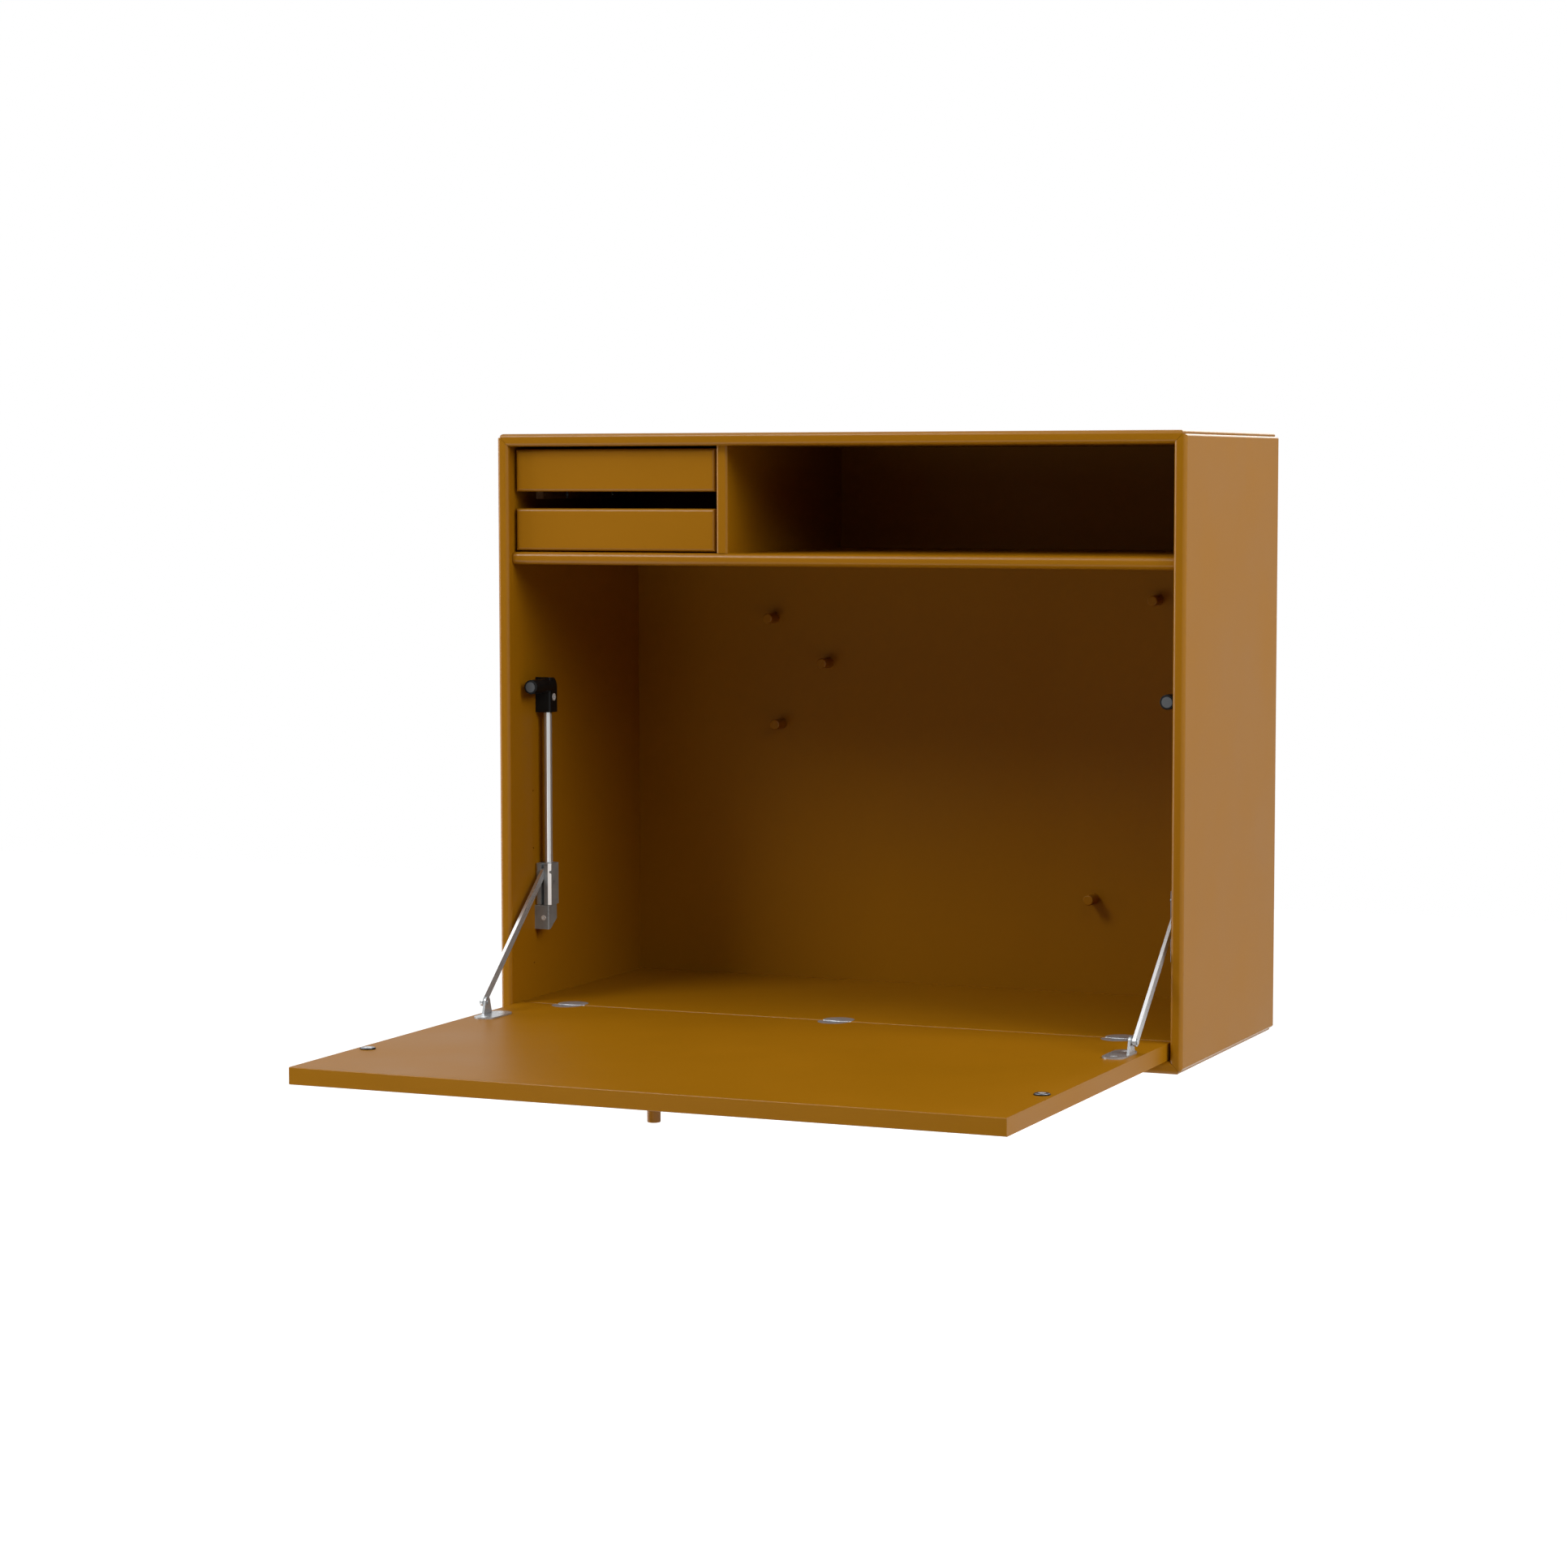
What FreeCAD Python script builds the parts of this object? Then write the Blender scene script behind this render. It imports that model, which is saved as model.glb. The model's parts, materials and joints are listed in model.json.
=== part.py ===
import FreeCAD, Part
import os
import Sketcher

# Fold-down wall desk: a lacquered box that hangs on a wall, with a flap that drops on three
# flush hinges to make the writing surface, two flap stays, a shelf, a divider and two trays.
# Frame in millimetres: X to the right from mid width, Y towards the wall with 0 at the wall
# plane, Z up with 0 at the underside. The desk is drawn with its flap open.

doc = FreeCAD.newDocument("wall_desk")
sheet = doc.addObject("Spreadsheet::Sheet", "Dim")

SIZES = [
    # carcass
    ("width", 696, "carcass width"),
    ("height", 584, "carcass height"),
    ("depth", 300, "carcass depth"),
    ("panel", 12, "thickness of the four outer panels"),
    ("arris", 4, "rounding of the front edges"),
    ("mitre_soft", 2.4, "rounding of the mitre tips"),
    ("mitre_line", 0.15, "set back of each mitre face, along the panel"),
    ("back_thick", 8, "back panel thickness"),
    ("bay_height", 102, "clear height above the shelf"),
    ("shelf_thick", 12, "shelf thickness"),
    ("shelf_recess", 7.5, "shelf front behind the carcass front"),
    ("shelf_nose", 5, "rounding of the shelf front"),
    ("shelf_play", 0.3, "gap at each end of the shelf"),
    ("divider_thick", 12, "divider thickness"),
    ("divider_recess", 10, "divider front behind the carcass front"),
    ("divider_arris", 3, "rounding of the divider front"),
    ("tray_bay", 216.5, "clear width of the tray bay"),
    ("floor_play", 0.3, "gap at each end of the inner floor"),
    # joinery
    ("spline_thick", 3, "mitre spline thickness"),
    ("spline_width", 7, "mitre spline width across the joint"),
    ("spline_end", 20, "spline end from the panel ends"),
    ("spline_depth", 7.6, "spline centre from the outer faces"),
    ("dowel_radius", 3, "dowel radius"),
    ("dowel_bed", 7, "dowel depth in each piece"),
    ("dowel_front", 60, "front dowel behind the carcass front"),
    ("dowel_rear", 60, "rear dowel in front of the wall plane"),
    ("floor_dowel_in", 86, "inner floor dowel from the side panel"),
    ("joint_fit", 0.1, "glue clearance round dowels, splines and let-in fittings"),
    ("pilot_radius", 1, "spare pilot hole radius"),
    ("pilot_bed", 6, "spare pilot hole depth"),
    ("pilot_back", 49, "spare pilot holes behind the carcass front"),
    ("pilot_low", 63, "lowest spare pilot hole"),
    ("pilot_mid", 177, "middle spare pilot hole"),
    ("pilot_high", 234, "highest spare pilot hole"),
    # back panel fittings
    ("peg_radius", 5.25, "hanging peg radius"),
    ("peg_length", 20, "hanging peg in front of the back panel"),
    ("peg_crown", 1.2, "rounding of the peg end"),
    ("peg_tenon", 3, "peg tenon radius"),
    ("wall_hole", 3.5, "wall screw hole radius"),
    ("wall_hole_in", 36, "wall screw hole from the side panel"),
    ("wall_hole_drop", 36, "wall screw hole below the carcass top"),
    ("wall_plate_long", 46, "wall plate length"),
    ("wall_plate_tall", 24, "wall plate height"),
    ("wall_plate_thick", 2, "wall plate thickness"),
    ("wall_plate_corner", 5, "wall plate corner radius"),
    ("wall_plate_pitch", 30, "wall plate screws apart"),
    # flap and its axis
    ("flap_thick", 15.6, "flap thickness"),
    ("flap_lift", 0.4, "flap underside over the bottom panel"),
    ("flap_side", 2.3, "gap at each side of the flap"),
    ("flap_recess", 4.5, "closed flap behind the carcass front"),
    ("flap_sill", 0.5, "closed flap over the bottom panel"),
    ("flap_head", 2, "closed flap under the shelf"),
    ("flap_set_in", 18, "rear edge of the open flap behind the carcass front"),
    ("flap_arris", 1, "rounding of the flap edges"),
    ("seam_round", 2, "rounding of the edges at the seam"),
    ("seam_gap", 0.35, "clearance of the turning flap to the inner floor"),
    # flap hinges
    ("hinge_in", 54, "outer hinge from the side panel"),
    ("leaf_radius", 15, "hinge disc radius"),
    ("leaf_apart", 6.75, "hinge disc centre from the seam"),
    ("leaf_plate", 2.4, "hinge disc thickness"),
    ("cup_radius", 13, "hinge cup radius"),
    ("cup_floor", 1.8, "flap left under a hinge cup"),
    ("cup_short", 4.2, "hinge cup end behind the axis"),
    ("tongue_wide", 11, "hinge tongue width"),
    ("eye_radius", 3.6, "hinge tongue eye radius"),
    ("tongue_play", 0.35, "clearance round the hinge tongue"),
    ("hinge_pin", 1.5, "hinge pin radius"),
    ("pin_hold", 4.5, "hinge pin in each cheek"),
    ("pin_play", 0.05, "running clearance of a pin or slider"),
    ("knuckle_long", 24, "knuckle bar length"),
    ("knuckle_reach", 1.4, "knuckle bar in front of the inner floor"),
    ("knuckle_tall", 3.2, "knuckle bar height"),
    ("knuckle_sink", 0.2, "knuckle bar under the surface"),
    # flap knob and strikes
    ("knob_radius", 5.85, "knob radius"),
    ("knob_length", 17, "knob length"),
    ("knob_inset", 41.5, "knob from the free edge"),
    ("knob_round", 0.8, "rounding of the knob end"),
    ("stud_radius", 2, "knob stud radius"),
    ("stud_bed", 9, "knob stud in the flap and in the knob"),
    ("strike_radius", 6.5, "strike plate radius"),
    ("strike_thick", 1.5, "strike plate thickness"),
    ("strike_in", 14, "strike plate from the side panel"),
    ("strike_inset", 118.3, "strike plate from the free edge"),
    ("catch_gap", 0.3, "closed strike plate to the magnet"),
    # flap stays
    ("stay_in", 9.7, "rod axis from the side panel"),
    ("rod_back", 63, "rod axis behind the carcass front"),
    ("rod_radius", 4, "rod radius"),
    ("rod_seat", 15, "rod in the foot"),
    ("foot_wide", 15.6, "foot from the side panel"),
    ("foot_front", 12, "foot in front of the rod axis"),
    ("foot_rear", 6, "foot behind the rod axis"),
    ("foot_low", 96.5, "underside of the foot"),
    ("foot_tall", 23.7, "foot height"),
    ("foot_cut_deep", 15, "depth of the cut at the foot's lower rear corner"),
    ("foot_cut_tall", 10, "height of the cut at the foot's lower rear corner"),
    ("fitting_arris", 1, "rounding of the moulded fittings"),
    ("boss_radius", 4, "moulded dowel radius"),
    ("boss_long", 8, "moulded dowel in the side panel"),
    ("slider_in", 7, "slider inside the rod axis"),
    ("slider_gap", 0.7, "slider to the side panel"),
    ("slider_front", 11, "slider in front of the rod axis"),
    ("slider_rear", 8.8, "slider behind the rod axis"),
    ("slider_tall", 41, "slider height"),
    ("slider_rest", 0.4, "open slider over the foot"),
    ("pivot_wall", 2.5, "arm pivot behind the slider front"),
    ("pivot_up", 32.6, "arm pivot over the slider underside"),
    ("pivot_pin", 1.5, "slider pivot pin radius"),
    ("slider_soft", 2, "rounding of the slider uprights"),
    ("slider_cut", 2.6, "flat cut on the slider's inner front upright"),
    ("arm_out", 1.6, "arm plane outside the rod axis"),
    ("arm_thick", 3.1, "arm thickness"),
    ("arm_wide", 8.6, "arm width"),
    ("arm_top_eye", 3.5, "arm eye radius at the slider"),
    ("arm_low_eye", 4.3, "arm eye radius at the flap"),
    ("arm_play", 0.3, "gap at each side of the arm"),
    ("lug_thick", 2.3, "bracket lug thickness"),
    ("lug_foot", 17.6, "bracket lug length at its foot"),
    ("lug_head", 5, "bracket lug head radius"),
    ("lug_gap", 1.4, "bracket lug to the arm"),
    ("lug_pin", 2, "bracket pin radius"),
    ("lug_pin_collar", 3.4, "bracket pin collar radius"),
    ("lug_pin_head", 2.7, "bracket pin head radius"),
    ("lug_pin_cap", 0.8, "bracket pin head thickness"),
    ("lug_pin_ahead", 74.5, "bracket pin in front of the carcass"),
    ("lug_pin_up", 12.3, "bracket pin over the flap"),
    ("bracket_plate", 1.5, "bracket plate thickness"),
    ("bracket_long", 51, "bracket plate length"),
    ("bracket_wide", 21.4, "bracket plate width"),
    ("bracket_edge", 0.5, "bracket plate outside its lug"),
    ("bracket_shift", 4.8, "bracket plate middle in front of its pin"),
    ("bracket_pitch", 33, "bracket screws apart"),
    ("elbow_wide", 16.5, "elbow from the side panel"),
    ("elbow_front", 7.7, "elbow in front of the rod axis"),
    ("elbow_rear", 7, "elbow behind the rod axis"),
    ("elbow_under", 26.5, "underside of the elbow below the magnet axis"),
    ("elbow_over", 8, "elbow top over the magnet axis"),
    ("elbow_turn", 10, "rounding of the elbow's rear top edge"),
    ("elbow_seat", 22, "rod in the elbow"),
    ("snout_radius", 7, "magnet snout radius"),
    ("snout_in", 11.5, "magnet axis from the side panel"),
    ("magnet_radius", 5, "magnet radius"),
    ("magnet_long", 9, "magnet length"),
    ("magnet_proud", 0.5, "magnet in front of its snout"),
    ("grub_radius", 2.5, "radius of the clamp screw in the foot"),
    ("elbow_grub", 3.6, "radius of the clamp screw in the elbow"),
    ("grub_socket", 1.2, "clamp screw socket radius"),
    ("grub_socket_deep", 1.5, "clamp screw socket depth"),
    # trays
    ("tray_recess", 12, "tray front behind the carcass front"),
    ("tray_gap", 2.2, "gap at each side of a tray"),
    ("tray_head", 2.8, "gap over the upper tray"),
    ("tray_base", 1.4, "lower tray over the shelf"),
    ("finger_gap", 16.4, "gap between the trays"),
    ("tray_front_thick", 12, "tray front thickness"),
    ("tray_round", 3, "rounding of the tray front"),
    ("tray_wall", 8, "tray side and back thickness"),
    ("tray_inset", 1, "tray side inside the end of its front"),
    ("tray_clear", 18, "tray back in front of the back panel"),
    ("tray_drop", 5, "tray sides below the top of the front"),
    ("tray_bottom", 4, "tray bottom thickness"),
    ("tray_bottom_up", 2, "tray bottom over the edge of the sides"),
    ("tray_groove", 3, "tray bottom let into each wall"),
    ("runner_wide", 8, "runner width"),
    ("runner_tall", 7, "upper runner height"),
    ("runner_front", 60, "runner end behind the carcass front"),
    ("runner_clear", 26, "runner end in front of the back panel"),
    ("runner_play", 0.3, "tray over its runners"),
    # wood screws
    ("screw_head", 3.4, "countersunk screw head radius"),
    ("screw_shank", 1.6, "screw shank radius"),
    ("screw_cone", 1.8, "countersink depth"),
    ("screw_long", 12, "screw length"),
    ("cross_long", 3.6, "screw recess length"),
    ("cross_wide", 0.7, "screw recess width"),
    ("cross_deep", 0.8, "screw recess depth"),
]

for row, (alias, amount, meaning) in enumerate(SIZES, 1):
    sheet.set(f"A{row}", meaning)
    sheet.set(f"B{row}", str(amount))
    sheet.setAlias(f"B{row}", alias)
doc.recompute()


class Size:
    """A length written as an expression over the sheet's cells."""

    def __init__(self, text):
        self.text = str(text)

    def __add__(self, other):
        return Size(f"({self.text} + {Size.of(other).text})")

    def __sub__(self, other):
        return Size(f"({self.text} - {Size.of(other).text})")

    def __mul__(self, other):
        return Size(f"({self.text} * {Size.of(other).text})")

    def __truediv__(self, other):
        return Size(f"({self.text} / {Size.of(other).text})")

    def __neg__(self):
        return Size(f"(0 - {self.text})")

    def __rmul__(self, other):
        return Size.of(other) * self

    def __radd__(self, other):
        return Size.of(other) + self

    @staticmethod
    def of(thing):
        return thing if isinstance(thing, Size) else Size(thing)

    @property
    def value(self):
        return float(sheet.evalExpression(self.text))


class Cells:
    """Gives each named cell of the sheet as a Size."""

    def __getattr__(self, alias):
        return Size(f"Dim.{alias}")


def root(size):
    return Size(f"sqrt({size.text})")


d = Cells()
ZERO = Size("0")
SIDES = {"left": -1, "right": 1}
AXES = {"x": FreeCAD.Vector(1, 0, 0), "y": FreeCAD.Vector(0, 1, 0), "z": FreeCAD.Vector(0, 0, 1)}
PAST = Size("1")
NEAR = 1e-4

# Main places, worked out from the sheet
front = -d.depth
inner = d.width / 2 - d.panel
top_in = d.height - d.panel
shelf_top = top_in - d.bay_height
shelf_low = shelf_top - d.shelf_thick
divider_x = d.tray_bay - inner
back_face = -d.back_thick
floor_top = d.panel + d.flap_lift + d.flap_thick
flap_under = d.panel + d.flap_lift
flap_half = inner - d.flap_side
closed_low = d.panel + d.flap_sill
flap_long = shelf_low - d.flap_head - closed_low
flap_rear = front + d.flap_set_in
flap_free = flap_rear - flap_long
# The flap turns a quarter circle: its underside becomes its outer face and its rear edge its lower edge
axis_back = (d.flap_set_in + closed_low - flap_under + d.flap_recess) / 2
axis_y = front + axis_back
axis_z = (d.flap_set_in + closed_low + flap_under - d.flap_recess) / 2
heel_round = d.flap_set_in - axis_back
toe_y = d.flap_set_in - d.seam_round - axis_back
toe_z = floor_top - d.seam_round - axis_z
floor_front = axis_y + root(toe_y * toe_y + toe_z * toe_z) + d.seam_round + d.seam_gap
hinge_y = (flap_rear + floor_front) / 2
hinge_x = inner - d.hinge_in
hinge_places = {"left": -hinge_x, "middle": ZERO, "right": hinge_x}
strike_x = inner - d.strike_in
strike_y = flap_free + d.strike_inset
magnet_z = axis_z + axis_y - strike_y
magnet_face = front + d.flap_recess + d.flap_thick + d.strike_thick + d.catch_gap
rod_x = inner - d.stay_in
rod_y = front + d.rod_back
arm_mid = rod_x + d.arm_out
foot_top = d.foot_low + d.foot_tall
slider_low = foot_top + d.slider_rest
pivot_y = rod_y - d.slider_front + d.pivot_wall
pivot_z = slider_low + d.pivot_up
lug_pin_y = front - d.lug_pin_ahead
lug_pin_z = floor_top + d.lug_pin_up
elbow_low = magnet_z - d.elbow_under
elbow_top = magnet_z + d.elbow_over
tray_height = (d.bay_height - d.tray_base - d.finger_gap - d.tray_head) / 2
lower_tray_z = shelf_top + d.tray_base
upper_tray_z = lower_tray_z + tray_height + d.finger_gap
runner_start = front + d.runner_front
runner_end = back_face - d.runner_clear
runner_rows = [runner_start + (runner_end - runner_start) * share for share in (0.25, 0.75)]
# Pegs, as shares of the half width inside and of the height
PEG_SHARES = [(-0.5387, 0.6815), (-0.3601, 0.6045), (-0.5149, 0.4957), (0.6845, 0.7209), (0.4926, 0.2111)]
peg_places = [(inner * across, d.height * up) for across, up in PEG_SHARES]

subparts = []


def bind(thing, **sizes):
    """Ties properties of an object to expressions over the sheet."""
    for name, size in sizes.items():
        thing.setExpression(name.replace("__", "."), Size.of(size).text)
    return thing


def put(thing, x=ZERO, y=ZERO, z=ZERO):
    return bind(thing, Placement__Base__x=x, Placement__Base__y=y, Placement__Base__z=z)


def box(name, x, y, z):
    """A block between two planes on each axis."""
    block = doc.addObject("Part::Box", name)
    bind(block, Length=Size.of(x[1]) - x[0], Width=Size.of(y[1]) - y[0], Height=Size.of(z[1]) - z[0])
    return put(block, x[0], y[0], z[0])


def rod(name, axis, radius, at, length):
    """A round bar that starts at a point and runs along +X, +Y or +Z."""
    bar = doc.addObject("Part::Cylinder", name)
    bar.Placement = FreeCAD.Placement(FreeCAD.Vector(), FreeCAD.Rotation(AXES["z"], AXES[axis]))
    bind(bar, Radius=radius, Height=length)
    return put(bar, *at)


def cone(name, axis, radius_start, radius_end, at, length):
    taper = doc.addObject("Part::Cone", name)
    taper.Placement = FreeCAD.Placement(FreeCAD.Vector(), FreeCAD.Rotation(AXES["z"], AXES[axis]))
    bind(taper, Radius1=radius_start, Radius2=radius_end, Height=length)
    return put(taper, *at)


def fuse(name, pieces):
    whole = doc.addObject("Part::MultiFuse", name)
    whole.Shapes = pieces
    whole.Refine = True
    return whole


def group(name, pieces):
    """Several separate solids under one name."""
    bundle = doc.addObject("Part::Compound", name)
    bundle.Links = pieces
    return bundle


def cut(name, base, tools):
    taken = doc.addObject("Part::Cut", name)
    taken.Base = base
    taken.Tool = tools[0] if len(tools) == 1 else group(name + "_cutters", tools)
    return taken


def common(name, first, second):
    shared = doc.addObject("Part::Common", name)
    shared.Base = first
    shared.Tool = second
    return shared


def edges_at(shape, x=None, y=None, z=None):
    """Numbers of the edges whose ends all lie on the given planes."""
    found = []
    for number, edge in enumerate(shape.Edges, 1):
        fits = True
        for point in [v.Point for v in edge.Vertexes]:
            for want, have in ((x, point.x), (y, point.y), (z, point.z)):
                fits = fits and (want is None or abs(Size.of(want).value - have) < NEAR)
        if fits:
            found.append(number)
    return found


def rounded(name, base, radius, *places, kind="Part::Fillet"):
    """Rounds, or cuts flat, the edges of a block or boolean that lie at the given places."""
    doc.recompute()
    numbers = sorted({n for place in places for n in edges_at(base.Shape, **place)})
    soft = doc.addObject(kind, name)
    soft.Base = base
    soft.Edges = [(n, radius.value, radius.value) for n in numbers]
    return soft


def outline_body(name, plane, corners, length, flip=False):
    """A body padded from a straight-sided outline whose corners are bound to the sheet."""
    body = doc.addObject("PartDesign::Body", name)
    sketch = body.newObject("Sketcher::SketchObject", name + "_outline")
    base = next(p for p in body.Origin.OriginFeatures if p.Role == plane)
    sketch.AttachmentSupport = [(base, "")]
    sketch.MapMode = "FlatFace"
    points = [FreeCAD.Vector(Size.of(a).value, Size.of(b).value, 0) for a, b in corners]
    count = len(points)
    for i in range(count):
        sketch.addGeometry(Part.LineSegment(points[i], points[(i + 1) % count]), False)
    for i in range(count):
        sketch.addConstraint(Sketcher.Constraint("Coincident", i, 2, (i + 1) % count, 1))
    for i, corner in enumerate(corners):
        for kind, size, place in zip(("DistanceX", "DistanceY"), corner, points[i]):
            number = sketch.addConstraint(Sketcher.Constraint(kind, -1, 1, i, 1, place))
            label = f"corner_{i}_{kind}"
            sketch.renameConstraint(number, label)
            sketch.setExpression("Constraints." + label, Size.of(size).text)
    pad = body.newObject("PartDesign::Pad", name + "_pad")
    pad.Profile = sketch
    pad.Reversed = flip
    bind(pad, Length=length)
    doc.recompute()
    return body


def body_round(body, radius, *places):
    """Rounds the edges of a body's last feature that lie at the given places."""
    last = body.Tip
    numbers = sorted({n for place in places for n in edges_at(last.Shape, **place)})
    soft = body.newObject("PartDesign::Fillet", f"{body.Name}_round_{len(body.Group)}")
    soft.Base = (last, [f"Edge{n}" for n in numbers])
    bind(soft, Radius=radius)
    doc.recompute()
    return body


def keep(label, thing):
    """Lists a finished sub-part under the name of its file."""
    thing.Label = label
    subparts.append((label, thing))
    return thing


def span(side, near, far):
    """The two X planes at these distances from mid width, on the left or right, in order."""
    return (near, far) if side > 0 else (-Size.of(far), -Size.of(near))


def out_from(side, distance):
    return Size.of(distance) if side > 0 else -Size.of(distance)


def wood_screw(name, axis, turn, at, length):
    """A countersunk screw whose flat head lies at a point and whose shank runs along turn * axis."""
    place = dict(zip("xyz", at))

    def along(start, end):
        low, high = (start, end) if turn > 0 else (-Size.of(end), -Size.of(start))
        spot = dict(place)
        spot[axis] = Size.of(place[axis]) + low
        return tuple(spot[a] for a in "xyz"), Size.of(high) - low

    at_cone, deep = along(ZERO, d.screw_cone)
    ends = (d.screw_head, d.screw_shank) if turn > 0 else (d.screw_shank, d.screw_head)
    head = cone(name + "_head", axis, ends[0], ends[1], at_cone, deep)
    at_shank, long = along(d.screw_cone, length)
    shank = rod(name + "_shank", axis, d.screw_shank, at_shank, long)
    slots = []
    for number, pair in enumerate((("a", "b"), ("b", "a"))):
        reach = {"a": d.cross_long / 2, "b": d.cross_wide / 2}
        others = [a for a in "xyz" if a != axis]
        spans = {}
        for other, arm in zip(others, pair):
            middle = Size.of(place[other])
            spans[other] = (middle - reach[arm], middle + reach[arm])
        low, high = (-PAST, d.cross_deep) if turn > 0 else (-d.cross_deep, PAST)
        spans[axis] = (Size.of(place[axis]) + low, Size.of(place[axis]) + high)
        slots.append(box(f"{name}_slot_{number}", spans["x"], spans["y"], spans["z"]))
    return cut(name, fuse(name + "_blank", [head, shank]), slots)


def screw_hole(name, axis, turn, at, length):
    """The hole that a countersunk screw fills, a glue clearance deeper."""
    place = dict(zip("xyz", at))
    spot = dict(place)
    spot[axis] = Size.of(place[axis]) - (ZERO if turn > 0 else length + d.joint_fit)
    shank = rod(name + "_shank", axis, d.screw_shank, tuple(spot[a] for a in "xyz"), length + d.joint_fit)
    spot[axis] = Size.of(place[axis]) - (ZERO if turn > 0 else d.screw_cone)
    ends = (d.screw_head, d.screw_shank) if turn > 0 else (d.screw_shank, d.screw_head)
    head = cone(name + "_head", axis, ends[0], ends[1], tuple(spot[a] for a in "xyz"), d.screw_cone)
    return group(name, [shank, head])


# Dowels: each entry gives the axis, the middle of the dowel and the two pieces that it joins
dowel_rows = [front + d.dowel_front, -d.dowel_rear]
shelf_mid = (shelf_top + shelf_low) / 2
divider_mid = divider_x + d.divider_thick / 2
floor_dowel_x = inner - d.floor_dowel_in
both = SIDES.values()
dowel_sets = {
    "shelf_dowels": [("x", (out_from(s, inner), y, shelf_mid)) for s in both for y in dowel_rows],
    "divider_dowels": [("z", (divider_mid, y, z)) for z in (shelf_top, top_in) for y in dowel_rows],
    "floor_dowels": [("z", (out_from(s, floor_dowel_x), y, d.panel)) for s in both for y in dowel_rows],
}


def dowel(name, axis, middle, grow=ZERO):
    place = dict(zip("xyz", middle))
    reach = d.dowel_bed + grow
    place[axis] = Size.of(place[axis]) - reach
    return rod(name, axis, d.dowel_radius + grow, tuple(place[a] for a in "xyz"), reach * 2)


dowel_holes = {}
for label, places in dowel_sets.items():
    keep(label, group(label, [dowel(f"{label}_{i}", a, at) for i, (a, at) in enumerate(places)]))
    holes = [dowel(f"{label}_hole_{i}", a, at, d.joint_fit) for i, (a, at) in enumerate(places)]
    dowel_holes[label] = group(label + "_holes", holes)


# Splines across the four mitres, near the inner corners
def spline(name, side, level, grow=ZERO):
    turn = 45 * side * level
    strip = doc.addObject("Part::Box", name)
    wide, thick = d.spline_width + grow * 2, d.spline_thick + grow * 2
    end = d.spline_end - grow
    bind(strip, Length=wide, Width=d.depth - end * 2, Height=thick)
    x = out_from(side, d.width / 2 - d.spline_depth)
    z = d.height - d.spline_depth if level > 0 else d.spline_depth
    turned = FreeCAD.Rotation(AXES["y"], turn)
    strip.Placement = FreeCAD.Placement(FreeCAD.Vector(), turned)
    cos, sin = turned.multVec(AXES["x"]).x, turned.multVec(AXES["x"]).z
    corner_x = x - wide / 2 * cos + thick / 2 * sin
    corner_z = z - wide / 2 * sin - thick / 2 * cos
    return put(strip, corner_x, front + end, corner_z)


corners = [(side, level) for side in (-1, 1) for level in (-1, 1)]
keep("corner_splines", group("corner_splines", [spline(f"spline_{i}", *c) for i, c in enumerate(corners)]))
grooves = [spline(f"spline_groove_{i}", *c, d.joint_fit) for i, c in enumerate(corners)]
spline_grooves = group("spline_grooves", grooves)

# Stay fittings are held to the side panels by moulded dowels on the rod axis
boss_levels = {"foot": d.foot_low + d.foot_tall / 2, "elbow": elbow_low + d.elbow_seat / 2}


def boss(name, side, level, grow=ZERO):
    long = d.boss_long + grow + PAST
    start = inner - PAST if side > 0 else -inner - d.boss_long - grow
    return rod(name, "x", d.boss_radius + grow, (start, rod_y, level), long)


# Carcass: four mitred panels with rounded front edges and softened mitre tips
line = d.mitre_line
half = d.width / 2
TIP_TANGENT, DIAGONAL = 0.41421356, 0.70710678


def mitre_tip(name, side, level, upright):
    """What is taken off the sharp tip of a mitre to round it, over the whole depth."""
    reach = d.mitre_soft / TIP_TANGENT
    slope = reach * DIAGONAL
    # distances in from the outer corner: along the panel's own outer face and across it
    ends = [(-PAST, -PAST), (reach, -PAST), (reach, ZERO), (reach, d.mitre_soft), (slope, slope),
            (slope - PAST, slope + PAST)]
    corners = []
    for along, across in ends:
        along = Size.of(along) + line
        inward_x, inward_z = (across, along) if upright else (along, across)
        x = out_from(side, half - inward_x)
        corners.append((x, d.height - inward_z if level > 0 else inward_z))
    block = outline_body(name + "_block", "XZ_Plane", corners, d.depth + PAST * 2)
    put(block, y=PAST)
    centre_x, centre_z = corners[3]
    bar = rod(name + "_bar", "y", d.mitre_soft, (centre_x, front - PAST * 2, centre_z), d.depth + PAST * 4)
    return cut(name, block, [bar])


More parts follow.
